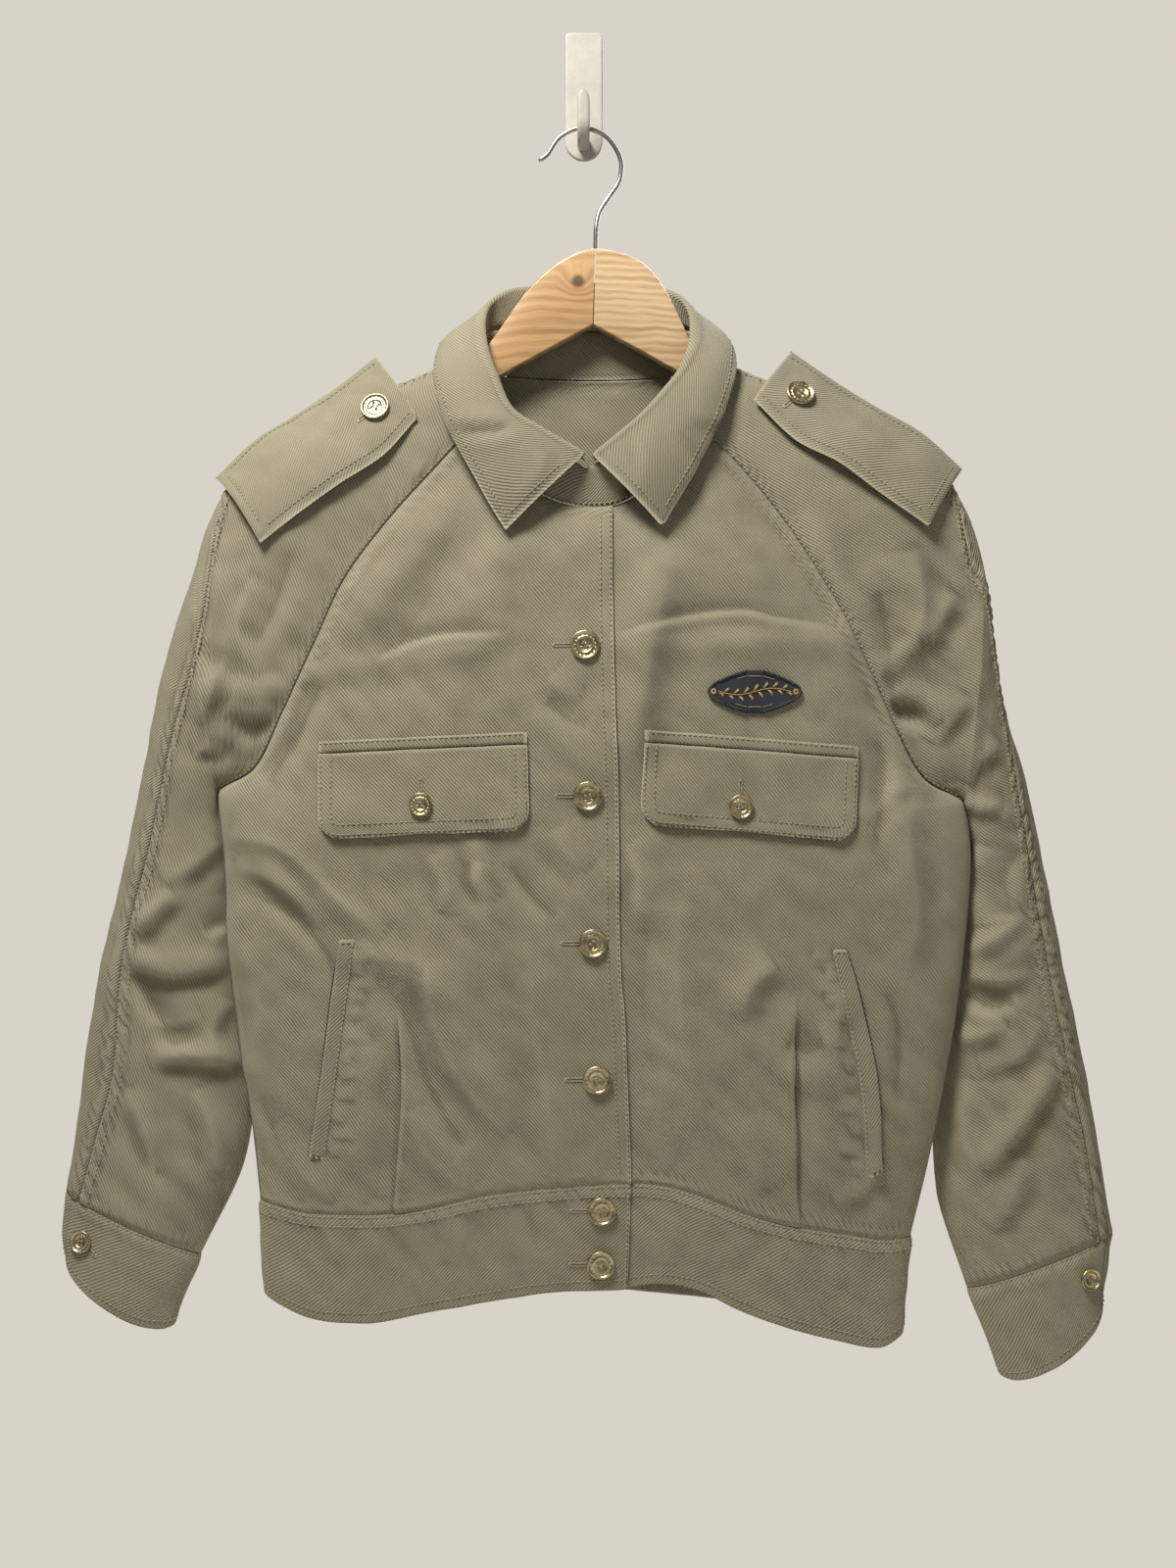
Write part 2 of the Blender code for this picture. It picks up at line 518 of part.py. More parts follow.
UNDERARMS = (point(*SEAM_RIGHT[7][1:]), point(*SEAM_LEFT[7][1:]))


def seam_normal(p):
    """The direction shared by the panels that meet here; none at the underarms."""
    if min((p - under).length for under in UNDERARMS) < 1.0:
        return None
    met = [seam_normals[k] for _, k, _ in seam_tree[0].find_range(p, 0.08)] if seam_tree[0] else []
    if len(met) < 2:
        return None
    total = Vector((0, 0, 0))
    for n in met:
        total += n
    return total.normalized() if total.length > 0.3 else None


def grid_normals(grid):
    rows, cols = len(grid), len(grid[0])
    out = []
    for i in range(rows):
        line = []
        for j in range(cols):
            a = grid[min(i + 1, rows - 1)][j] - grid[max(i - 1, 0)][j]
            b = grid[i][min(j + 1, cols - 1)] - grid[i][max(j - 1, 0)]
            n = a.cross(b)
            line.append(n.normalized() if n.length > 1e-9 else None)
        out.append(line)
    for i in range(rows):
        for j in range(cols):
            if out[i][j] is None:
                near = [out[k][m] for k in range(max(i - 1, 0), min(i + 2, rows))
                        for m in range(max(j - 1, 0), min(j + 2, cols)) if out[k][m] is not None]
                total = Vector((0, 0, 0))
                for n in near:
                    total += n
                out[i][j] = total.normalized()
    return out


def shrink(grid, gap, sides="tbrl"):
    """The grid's border moved inward along the cloth by the gap."""
    rows, cols = len(grid), len(grid[0])
    out = [[p.copy() for p in line] for line in grid]

    def pull(i, j, k, m):
        step = grid[k][m] - grid[i][j]
        by = gap
        if gap > 0 and min((grid[i][j] - under).length for under in UNDERARMS) < 1.0:
            by = 1.3
        if step.length > 1e-6:
            out[i][j] += step.normalized() * min(by, 0.4 * step.length)

    for j in range(cols):
        if "t" in sides:
            pull(0, j, 1, j)
        if "b" in sides:
            pull(rows - 1, j, rows - 2, j)
    for i in range(rows):
        if "l" in sides:
            pull(i, 0, i, 1)
        if "r" in sides:
            pull(i, cols - 1, i, cols - 2)
    return out


def make_object(name, verts, faces):
    mesh = bpy.data.meshes.new(name)
    mesh.from_pydata([v * MM for v in verts], [], faces)
    mesh.update()
    mesh.materials.append(finish_for(name))
    obj = bpy.data.objects.new(name, mesh)
    collection.objects.link(obj)
    return obj


def wall(name, grid, thick, sides="tbrl", flip=False, centred=False, gap=None):
    """A closed wall on a grid: its outer skin, its inner skin and a rim."""
    sign = -1 if flip else 1
    rows, cols = len(grid), len(grid[0])
    normals = grid_normals(grid)
    for i in range(rows):
        for j in range(cols):
            if i in (0, rows - 1) or j in (0, cols - 1):
                n = seam_normal(grid[i][j])
                if n is not None:
                    normals[i][j] = n * sign
    grid = shrink(grid, 0.5 * SEAM_GAP if gap is None else gap, sides)
    out_by = 0.5 * thick if centred else 0.0
    outer = [[grid[i][j] + normals[i][j] * sign * out_by for j in range(cols)] for i in range(rows)]
    inner = [[outer[i][j] - normals[i][j] * sign * thick for j in range(cols)] for i in range(rows)]
    verts = [p for line in outer for p in line] + [p for line in inner for p in line]
    half = rows * cols
    faces = []
    for i in range(rows - 1):
        for j in range(cols - 1):
            a, b = i * cols + j, i * cols + j + 1
            c, d = (i + 1) * cols + j + 1, (i + 1) * cols + j
            faces += [(a, d, c), (a, c, b)]
            faces += [(half + a, half + b, half + c), (half + a, half + c, half + d)]
    border = [j for j in range(cols)]
    border += [i * cols + cols - 1 for i in range(1, rows)]
    border += [(rows - 1) * cols + j for j in range(cols - 2, -1, -1)]
    border += [i * cols for i in range(rows - 2, 0, -1)]
    for k in range(len(border)):
        a, b = border[k], border[(k + 1) % len(border)]
        if verts[a].dot(RIM_ORDER) < verts[b].dot(RIM_ORDER):
            faces += [(a, b, half + b), (a, half + b, half + a)]
        else:
            faces += [(a, b, half + a), (b, half + b, half + a)]
    if flip:
        faces = [tuple(reversed(f)) for f in faces]
    skin_faces = [f for f in faces if max(f) < half]
    skins[name] = BVHTree.FromPolygons(verts[:half], skin_faces)
    return make_object(name, verts, faces)


def lie_on(skin, x, z, lift):
    """The place on a skin that is seen at x, z from the front, moved out by the lift."""
    hit = skins[skin].ray_cast(Vector((x, -400, z)), Vector((0, 1, 0)))
    if hit[0] is None:
        hit = skins[skin].find_nearest(Vector((x, -50, z)))
    n = hit[1]
    if n.y > 0:
        n = -n
    return hit[0] + n * lift, n


def smooth_lie_on(skin, x, z, lift, reach=4.0):
    """As above, with the place and the direction averaged over a small cross."""
    spots = [lie_on(skin, x + dx, z + dz, 0.0) for dx, dz in
             ((0, 0), (reach, 0), (-reach, 0), (0, reach), (0, -reach))]
    n = Vector((0, 0, 0))
    for s in spots:
        n += s[1]
    n.normalize()
    return spots[0][0] + n * lift, n


def push_off(p, names, clearance):
    """The point moved off the skins until it clears them."""
    for _ in range(4):
        for name in names:
            near, n, _, dist = skins[name].find_nearest(p)
            if near is None:
                continue
            side = (p - near).dot(n)
            if side < clearance and dist < 25:
                p = p + n * (clearance - side)
    return p


# Fronts
RIGHT_SHARES = (0.0, 0.012, 0.04, 0.09, 0.165, 0.255, None, 0.48, 0.63, 0.8, 1.0)
LEFT_SHARES = (0.012, 0.1, 0.2, 0.32, None, 0.66, 0.765, 0.86, 0.93, 0.973, 0.992, 1.0)


def pleat_share(table, v):
    low, high = 0.1, 0.95
    for _ in range(22):
        mid = 0.5 * (low + high)
        p = front_point(mid, v)
        if p.x < at(table, -p.z)[0]:
            low = mid
        else:
            high = mid
    return 0.5 * (low + high)


def right_shares(v):
    edge = edge_share(v)
    pleat = mix(0.21, pleat_share(PLEAT_RIGHT, v), ease(0.70, 0.82, v))
    out = []
    for s in RIGHT_SHARES:
        out += [pleat - 0.006, pleat + 0.004] if s is None else [s * edge]
    return out


def left_shares(v):
    edge = edge_share(v)
    lap = edge_share(v, -34.0)
    pleat = mix(0.80, pleat_share(PLEAT_LEFT, v), ease(0.70, 0.82, v))
    out = [lap, mix(lap, edge, 0.5)]
    for s in LEFT_SHARES:
        out += [pleat - 0.004, pleat + 0.006] if s is None else [mix(edge, 1.0, s)]
    return out


BACK_SHARES = (0.0, 0.007, 0.025, 0.06, 0.115, 0.19, 0.29, 0.4, 0.5, 0.6, 0.71, 0.81, 0.885, 0.94, 0.975,
               0.993, 1.0)
right_grid = [[front_point(u, v) for u in right_shares(v)] for v in BODY_ROWS]
left_grid = [[under_lap(front_point(u, v)) for u in left_shares(v)] for v in BODY_ROWS]
back_grid = [[back_point(u, v) for u in BACK_SHARES] for v in BODY_ROWS]

# Sleeves, each cut as a front piece and a back piece that meet at the overarm seam
REAR_RINGS = (1.22, 1.35, 1.5, 1.65, 1.8, 1.92, 2.0)


def front_rings(side, t):
    over = overarm_ring(side, t)
    return [over * k / 9 for k in range(10)]


def rear_rings(side, t):
    over = overarm_ring(side, t)
    first = over + max(0.5 * (1.0 - over), 0.07)
    second = max(1.0, first + 0.06)
    return [over, first, second, mix(second, REAR_RINGS[0], 0.5)] + list(REAR_RINGS)


sleeves = {}
for side, word in ((-1, "right"), (1, "left")):
    fore = [[sleeve_point(side, t, ring) for ring in front_rings(side, t)] for t in SLEEVE_ROWS]
    rear = [[sleeve_point(side, t, ring) for ring in rear_rings(side, t)] for t in SLEEVE_ROWS]
    rings = rear_rings(side, 1.0)[2:] + front_rings(side, 1.0)[1:] + rear_rings(side, 1.0)[1:3]
    cuff = [[cuff_point(side, r, ring) for ring in rings] for r in (0.0, 0.33, 0.67, 1.0)]
    sleeves[word] = (fore, rear, cuff, side < 0)

# Waistband: one strip from the right front's edge round the back to the end under the lap
band_grid = []
for r in (0.0, 0.33, 0.67, 1.0):
    line = [band_front(u, r) for u in reversed(right_shares(1.0))]
    line += [band_back(u, r) for u in BACK_SHARES[1:-1]]
    line += [under_lap(band_front(u, r)) for u in reversed(left_shares(1.0))]
    band_grid.append(line)

panels = [(right_grid, False), (left_grid, False), (back_grid, True), (band_grid, True)]
for fore, rear, cuff, flip in sleeves.values():
    panels += [(fore, flip), (rear, flip), (cuff, flip)]
share_normals(panels)
wall("front_right", right_grid, CLOTH)
wall("front_left", left_grid, CLOTH)
wall("back_body", back_grid, CLOTH, flip=True)
wall("waistband", band_grid, FOLDED_CLOTH, flip=True)
for word, (fore, rear, cuff, flip) in sleeves.items():
    wall("sleeve_front_" + word, fore, CLOTH, flip=flip)
    wall("sleeve_back_" + word, rear, CLOTH, flip=flip)
    wall("cuff_" + word, cuff, FOLDED_CLOTH, flip=flip)


# Collar
def neck_base(side, s):
    if s <= 0.4:
        share = mix(0.52, 0.0 if side < 0 else 1.0, s / 0.4)
        return front_point(share, 0.0)
    if s <= 0.62:
        return sleeve_point(side, 0.0, (s - 0.4) / 0.22 * 2)
    share = (s - 0.62) / 0.38 * 0.5
    return back_point(share if side < 0 else 1 - share, 0.0)


def collar_rows(side, s):
    table = COLLAR_RIGHT if side < 0 else COLLAR_LEFT
    rx, rz, rd, ex, ez, ed, split = at(table, s)
    base = neck_base(side, s)
    roll = point(rx, rz, rd)
    edge = point(ex, ez, ed)
    ax, az, ad = at(table, max(s - 0.03, 0))[:3]
    bx, bz, bd = at(table, min(s + 0.03, 1))[:3]
    along = point(bx, bz, bd) - point(ax, az, ad)
    out = Vector((along.y, -along.x, 0))
    if out.dot(Vector((rx - 3, -(rd - 27), 0))) < 0:
        out = -out
    out.normalize()
    along.normalize()
    rise = roll - base
    rise -= along * rise.dot(along)
    return base, roll, edge, split, out, rise.normalized()


STATIONS = (0, 0.05, 0.1, 0.15, 0.2, 0.25, 0.3, 0.35, 0.4, 0.43, 0.455, 0.485, 0.51, 0.54, 0.565, 0.595,
            0.62, 0.67, 0.74, 0.82, 0.91, 1.0)
ring_keys = [(-1, s) for s in STATIONS] + [(1, s) for s in reversed(STATIONS[:-1])]
# The stand's right end laps over its left end, which is pressed back
stand_keys = [(1, 0.14, False), (1, 0.07, False)] + [(-1, s, False) for s in STATIONS]
stand_keys += [(1, s, True) for s in reversed(STATIONS[:-1])]
stand_grid = [[], [], [], []]
for side, s, under in stand_keys:
    base, roll, edge, split, _, _ = collar_rows(side, s)
    body = base + (roll - base).normalized() * 0.75
    split *= 1 - 0.15 * (1 - ease(0.0, 0.09, s))
    press = Vector((0, LAP_DROP * (1 - ease(0.16, 0.26, s)), 0)) if under else Vector((0, 0, 0))
    for k in range(4):
        stand_grid[k].append(body.lerp(roll, split * k / 3) + press)
wall("collar_stand", stand_grid, FOLDED_CLOTH * 0.8, sides="", gap=0.0)

ROLL_RADIUS = 2.9
LEAF_BELLY = 5.0
LEAF_BELLY_BACK = 2.4
fall_grid = []
rests = ("front_right", "front_left", "sleeve_front_right", "sleeve_front_left", "sleeve_back_right",
         "sleeve_back_left", "back_body")
for side, s in ring_keys:
    base, roll, edge, split, out, up = collar_rows(side, s)
    start = base.lerp(roll, split) + (roll - base).normalized() * 0.7
    centre = roll + (out - up) * ROLL_RADIUS
    line = [start, start.lerp(roll - up * ROLL_RADIUS, 0.5)]
    for degrees in (180, 135, 90, 45, 0):
        a = math.radians(degrees)
        line.append(centre + out * ROLL_RADIUS * math.cos(a) + up * ROLL_RADIUS * math.sin(a))
    outer = line[-1]
    for k in (0.2, 0.42, 0.64, 0.84, 1.0):
        belly = mix(LEAF_BELLY, LEAF_BELLY_BACK, ease(0.55, 0.72, s))
        p = outer.lerp(edge, k) + out * (belly * math.sin(math.pi * k))
        line.append(push_off(p, rests, 1.9))
    fall_grid.append(line)
fall_rows = [list(c) for c in zip(*fall_grid)]
wall("collar_fall", fall_rows, FOLDED_CLOTH * 0.75, sides="", gap=0.0, centred=True, flip=True)

# Epaulettes: stiff strips that arch over the shoulder, lifted row by row until they clear it
def clearance(p, names):
    """Distance to the nearest skin, negative behind it. Where two skins meet, in front of one is enough."""
    found = []
    for name in names:
        near, n, _, dist = skins[name].find_nearest(p)
        if near is not None:
            found.append((dist, (p - near).dot(n)))
    least = min(found)[0]
    before = any(dist < least + 0.05 and dot > 0 for dist, dot in found)
    return least if before else -least


def arch(table, t, lift, count):
    ux, uz, ud, lx, lz, ld = at(table, t)
    upper, lower = point(ux, uz, ud), point(lx, lz, ld)
    across = lower - upper
    outward = Vector((0, across.z, -across.y)).normalized()
    if outward.z < 0:
        outward = -outward
    out = []
    for m in range(count):
        s = m / (count - 1)
        out.append(upper.lerp(lower, s) + outward * (0.35 * lift + (BULGE + lift) * math.sin(math.pi * s)))
    return out


EPAULETTE_ROWS = 11
BULGE = 2.0
for side, word, table in ((-1, "right", EPAULETTE_RIGHT), (1, "left", EPAULETTE_LEFT)):
    names = ("sleeve_front_" + word, "sleeve_back_" + word, "front_" + word, "back_body")
    lifts = []
    for k in range(EPAULETTE_ROWS):
        lift = 0.0
        while lift < 12:
            row = arch(table, k / (EPAULETTE_ROWS - 1), lift, 15)
            if min(clearance(p, names) for p in row) >= FOLDED_CLOTH + 0.7:
                break
            lift += 0.2
        lifts.append(lift)
    lifts = [max(lifts[max(k - 1, 0):k + 2]) for k in range(EPAULETTE_ROWS)]
    grid = [arch(table, k / (EPAULETTE_ROWS - 1), lifts[k], 8) for k in range(EPAULETTE_ROWS)]
    wall("epaulette_" + word, grid, FOLDED_CLOTH, flip=side > 0, gap=0.0)


# Flaps, welts and the patch follow the front they lie on
def panel_on(name, skin, border_rows, lift, thick, flip=False, sag=0.0):
    """Rows of x, z places, each moved out from the skin."""
    grid = []
    rows = len(border_rows)
    for i, line in enumerate(border_rows):
        extra = sag * i / max(rows - 1, 1)
        grid.append([smooth_lie_on(skin, x, z, lift + thick + extra)[0] for x, z in line])
    return wall(name, grid, thick, gap=0.0, flip=flip)


def flap_rows(corners, radius=13.0):
    (ax, az), (bx, bz), (cx, cz), (dx, dz) = corners
    rows = []
    for i in range(7):
        t = (0, 0.25, 0.5, 0.7, 0.85, 0.95, 1.0)[i]
        line = []
        height = math.hypot(dx - ax, dz - az)
        down = t * height
        cut = 0.0
        if down > height - radius:
            q = down - (height - radius)
            cut = radius - math.sqrt(max(radius * radius - q * q, 0.0))
            cut = min(cut, radius * 0.93)
        for j in range(9):
            s = j / 8
            lx, lz = mix(ax, dx, t), mix(az, dz, t)
            rx, rz = mix(bx, cx, t), mix(bz, cz, t)
            width = math.hypot(rx - lx, rz - lz)
            share = mix(cut / width, 1 - cut / width, s)
            line.append((mix(lx, rx, share), mix(lz, rz, share)))
        rows.append(line)
    return rows


for word, corners in (("right", FLAP_RIGHT), ("left", FLAP_LEFT)):
    front = "front_" + word
    panel_on("flap_" + word, front, flap_rows(corners), 0.85, FOLDED_CLOTH, sag=1.0)
    (ax, az), (bx, bz), _, _ = corners
    strip = [[(mix(ax, bx, j / 8), mix(az, bz, j / 8) + rise) for j in range(9)]
             for rise in (7.9, 4.3, 0.6)]
    panel_on("flap_welt_" + word, front, strip, 0.75, FOLDED_CLOTH)
for word, table in (("right", WELT_RIGHT), ("left", WELT_LEFT)):
    rows = []
    for k in range(9):
        keyed = tuple((i / 3,) + row for i, row in enumerate(table))
        ox, oz, ix, iz = at(keyed, k / 8)
        rows.append([(mix(ox, ix, j / 3), mix(oz, iz, j / 3)) for j in range(4)])
    panel_on("pocket_welt_" + word, "front_" + word, rows, 0.75, FOLDED_CLOTH, flip=word == "left")

px, pz, half_w, half_h = PATCH
patch_rows = []
for k in range(7):
    t = -1 + 2 * k / 6
    width = half_w * (1 - abs(t) ** 1.9 * 0.80)
    patch_rows.append([(px + width * (-1 + 2 * j / 8), pz - half_h * t) for j in range(9)])
panel_on("chest_patch", "front_left", patch_rows, 0.75, 1.3)


# Buttons: a disc with a raised rim, facing out from what it lies on
def button(name, x, z, radius, skin):
    place, n = smooth_lie_on(skin, x, z, 0.45, reach=radius * 0.7)
    high = max((smooth_lie_on(skin, x + radius * c, z + radius * s, 0.0)[0] - place).dot(n)
               for c, s in ((1, 0), (-1, 0), (0, 1), (0, -1), (0.7, 0.7), (-0.7, 0.7), (0.7, -0.7),
                            (-0.7, -0.7)))
    place = place + n * max(high + 0.35, 0.0)
    right = Vector((0, 0, 1)).cross(n).normalized()
    up = n.cross(right)
    rings = ((radius * 0.86, 0.0), (radius, 0.9), (radius * 0.96, BUTTON_THICK),
             (radius * 0.74, BUTTON_THICK * 0.92), (radius * 0.66, BUTTON_THICK * 0.66))
    count = 16
    verts = []
    for r, h in rings:
        for k in range(count):
            a = 2 * math.pi * k / count
            verts.append(place + right * r * math.cos(a) + up * r * math.sin(a) + n * h)
    faces = []
    for i in range(len(rings) - 1):
        for k in range(count):
            m = (k + 1) % count
            faces.append((i * count + k, i * count + m, (i + 1) * count + m, (i + 1) * count + k))
    faces.append(tuple(range(count - 1, -1, -1)))
    top = (len(rings) - 1) * count
    faces.append(tuple(top + k for k in range(count)))
    make_object(name, verts, faces)


for name, x, z, radius, skin in BUTTONS:
    button(name, x, z, radius, skin)


# Hanger
def section_loft(sections):
    count = len(sections[0])
    verts = [p for ring in sections for p in ring]
    faces = []
    for i in range(len(sections) - 1):
        for k in range(count):
            m = (k + 1) % count
            faces.append((i * count + k, i * count + m, (i + 1) * count + m, (i + 1) * count + k))
    faces.append(tuple(range(count - 1, -1, -1)))
    top = (len(sections) - 1) * count
    faces.append(tuple(top + k for k in range(count)))
    return verts, faces


def outward(name, verts, faces):
    """The object with its faces turned to face out."""
    volume = 0.0
    for f in faces:
        for k in range(1, len(f) - 1):
            volume += verts[f[0]].dot(verts[f[k]].cross(verts[f[k + 1]]))
    if volume < 0:
        faces = [tuple(reversed(f)) for f in faces]
    return make_object(name, verts, faces)


for word, table, shift in (("right", ARM_RIGHT, -0.15), ("left", ARM_LEFT, 0.15)):
    sections = []
    for k, (ux, uz, lx, lz) in enumerate(table):
        upper, lower = Vector((ux, 0, uz)), Vector((lx, 0, lz))
        down = (lower - upper).normalized()
        half = ARM_THICK / 2
        bevel = 2.6 if k > 0 else 2.0
        move = Vector((shift if k == 0 else 0, -ARM_DEPTH, 0))
        ring = [upper + Vector((0, -half + bevel, 0)), upper + down * bevel + Vector((0, -half, 0)),
                lower - down * 1.6 + Vector((0, -half, 0)), lower + Vector((0, -half + 1.6, 0)),
                lower + Vector((0, half - 1.6, 0)), lower - down * 1.6 + Vector((0, half, 0)),
                upper + down * bevel + Vector((0, half, 0)), upper + Vector((0, half - bevel, 0))]
        sections.append([p + move for p in ring])
    verts, faces = section_loft(sections)
    outward("hanger_arm_" + word, verts, faces)


def tube(path, radius, sides):
    sections = []
    for i, p in enumerate(path):
        along = (path[min(i + 1, len(path) - 1)] - path[max(i - 1, 0)]).normalized()
        a = along.cross(Vector((0, 1, 0))).normalized()
        b = along.cross(a).normalized()
        sections.append([p + a * radius * math.cos(2 * math.pi * k / sides)
                         + b * radius * math.sin(2 * math.pi * k / sides) for k in range(sides)])
    return sections


wire_keys = tuple((i,) + row for i, row in enumerate(WIRE))
path = [point(*at(wire_keys, i / 2)) for i in range(2 * (len(WIRE) - 1) + 1)]
verts, faces = section_loft(tube(path, WIRE_RADIUS, 10))
outward("hanger_hook", verts, faces)

# Wall hook: a flat plate with a round foot, and a peg that turns up
outline = [(-PLATE_WIDTH / 2, PLATE_TOP), (PLATE_WIDTH / 2, PLATE_TOP)]
foot_centre = PLATE_FOOT + PLATE_WIDTH / 2
for k in range(13):
    a = -math.pi * k / 12
    outline.append((PLATE_WIDTH / 2 * math.cos(a), foot_centre + PLATE_WIDTH / 2 * math.sin(a)))
sections = []
for depth, inset in ((0.0, 0.0), (PLATE_THICK - 0.8, 0.0), (PLATE_THICK, 0.8)):
    ring = []
    for x, z in outline:
        cx, cz = 0.0, max(min(z, PLATE_TOP - 10), foot_centre)
        away = Vector((x - cx, 0, z - cz))
        ring.append(point(x, z, depth) - away.normalized() * inset)
    sections.append(ring)
verts, faces = section_loft(sections)
outward("wall_hook_plate", verts, faces)

sections = []
for k, (depth, z, half) in enumerate(PEG):
    before, after = PEG[max(k - 1, 0)], PEG[min(k + 1, len(PEG) - 1)]
    along = Vector((0, -(after[0] - before[0]), after[1] - before[1])).normalized()
    if k == 0:
        along = Vector((0, -1, 0))
    across = along.cross(Vector((1, 0, 0))).normalized()
    centre = point(-0.3, z, depth)
    wide = PEG_WIDTH / 2 * (1.0 if k < len(PEG) - 1 else 0.86)
    ring = []
    for c, s in ((1, 0.5), (0.6, 1), (-0.6, 1), (-1, 0.5), (-1, -0.5), (-0.6, -1), (0.6, -1), (1, -0.5)):
        ring.append(centre + Vector((c * wide, 0, 0)) + across * s * half)
    sections.append(ring)
verts, faces = section_loft(sections)
outward("wall_hook_peg", verts, faces)
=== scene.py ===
import math

import bpy
import numpy as np
from bpy.props import FloatProperty, FloatVectorProperty, PointerProperty
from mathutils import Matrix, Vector, noise
from mathutils.bvhtree import BVHTree

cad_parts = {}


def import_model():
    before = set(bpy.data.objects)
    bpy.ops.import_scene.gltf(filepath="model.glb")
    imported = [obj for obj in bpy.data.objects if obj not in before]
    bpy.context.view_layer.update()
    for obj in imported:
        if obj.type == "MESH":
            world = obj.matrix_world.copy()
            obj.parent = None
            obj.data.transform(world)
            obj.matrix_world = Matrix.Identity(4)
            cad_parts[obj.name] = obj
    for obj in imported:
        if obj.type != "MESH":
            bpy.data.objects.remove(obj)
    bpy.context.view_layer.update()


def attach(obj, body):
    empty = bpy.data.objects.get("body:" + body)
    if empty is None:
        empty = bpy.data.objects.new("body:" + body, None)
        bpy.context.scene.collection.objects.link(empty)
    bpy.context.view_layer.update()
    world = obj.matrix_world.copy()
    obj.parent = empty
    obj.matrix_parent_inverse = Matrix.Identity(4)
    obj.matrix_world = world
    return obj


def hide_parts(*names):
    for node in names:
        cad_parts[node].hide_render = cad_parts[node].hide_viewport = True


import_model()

bl_info = {
    "name": "Raglan jacket on a hanger",
    "version": (1, 0, 0),
    "blender": (4, 5, 0),
    "location": "View3D > Sidebar > Jacket",
    "description": "Builds the cloth, buttons, stitching, hanger and wall hook round the jacket's frame",
    "category": "Object",
}

# The wearer's right is at -X. Tables are in millimetres: x, z and depth, the distance in front of the wall.
MM = 0.001
# Station of the underarm on every seam, and what is left of the seam below it
UNDERARM = 0.56
BELOW_UNDERARM = 0.44

# Raglan seam of the front from the neck down to the underarm, then the side seam.
# Columns: station, x, z, depth
SEAM_RIGHT = (
    (0, -76.1, -233.1, 38), (0.1, -100.4, -260.1, 41), (0.2, -128.4, -292, 44),
    (0.3, -157.8, -332, 45), (0.38, -175.2, -369.2, 45), (0.46, -198.8, -419.2, 42),
    (0.52, -218.5, -455.8, 36), (0.56, -242.9, -472, 30), (0.66, -238.8, -517.4, 32),
    (0.76, -235.2, -582.2, 34), (0.86, -228.5, -637.1, 34), (0.94, -219.5, -692.2, 34),
    (1, -214.3, -739.4, 34),
)
SEAM_LEFT = (
    (0, 77.5, -231.8, 38), (0.1, 100.6, -254.3, 41), (0.2, 128.6, -288.2, 44),
    (0.3, 155.5, -329.4, 45), (0.38, 176, -365.4, 45), (0.46, 201.5, -419.2, 42),
    (0.52, 225.1, -462.3, 36), (0.56, 251.5, -477.2, 30), (0.66, 256.5, -520.7, 32),
    (0.76, 251.5, -578.9, 34), (0.86, 242.9, -640.4, 34), (0.94, 228, -714.8, 34),
    (1, 216.4, -762.8, 34),
)
# Raglan seam of the back. Columns: station, x, z, depth
BACK_RIGHT = (
    (0, -68.7, -189.2, 8), (0.1, -93.3, -217.4, 6.5), (0.2, -126.4, -260.4, 6.5),
    (0.3, -157.5, -313.3, 6.5), (0.38, -182.5, -359.7, 7), (0.46, -208.7, -412.7, 9),
    (0.52, -223.8, -449.1, 17), (0.56, -242.9, -472, 30),
)
BACK_LEFT = (
    (0, 79.3, -189.2, 8), (0.1, 103.9, -217.4, 6.5), (0.2, 137, -260.4, 6.5),
    (0.3, 168.1, -313.3, 6.5), (0.38, 193.1, -359.7, 7), (0.46, 219.3, -414, 9),
    (0.52, 235.6, -452.4, 17), (0.56, 251.5, -477.2, 30),
)
# Heights across the front, from the right side to the left. Columns: share of the width, z
NECK_FRONT = (
    (0, -233.1), (0.12, -253), (0.25, -270.2), (0.4, -281.4), (0.52, -284.1),
    (0.64, -282.2), (0.76, -271.6), (0.88, -254.4), (1, -231.8),
)
WAIST_FRONT = (
    (0, -739.4), (0.08, -746.5), (0.16, -746.8), (0.25, -743), (0.35, -733.6),
    (0.45, -728.5), (0.56, -726), (0.62, -727.3), (0.68, -734.9), (0.74, -745.3),
    (0.8, -752.5), (0.9, -760.3), (0.96, -764.3), (1, -762.8),
)
HEM_FRONT = (
    (0, -802.3), (0.08, -816.3), (0.16, -818.7), (0.25, -811.4), (0.35, -804.1),
    (0.45, -797.7), (0.56, -795.8), (0.62, -792), (0.68, -796.7), (0.74, -809.1),
    (0.8, -819), (0.9, -830.8), (0.96, -835.5), (1, -828.8),
)
# Crown of the front. Columns: station, depth
CROWN_FRONT = (
    (0, 47), (0.1, 52), (0.2, 56), (0.3, 58), (0.45, 60), (0.7, 60), (0.85, 59),
    (0.94, 57), (1, 55),
)
# Edge of the right front, which laps over the left. Columns: -z, x
FRONT_EDGE = (
    (270, 18.7), (312, 18.6), (371, 19.2), (469, 22.3), (592, 24.2), (610, 26.1),
    (670, 28.7), (724, 30.7), (795, 30.1),
)
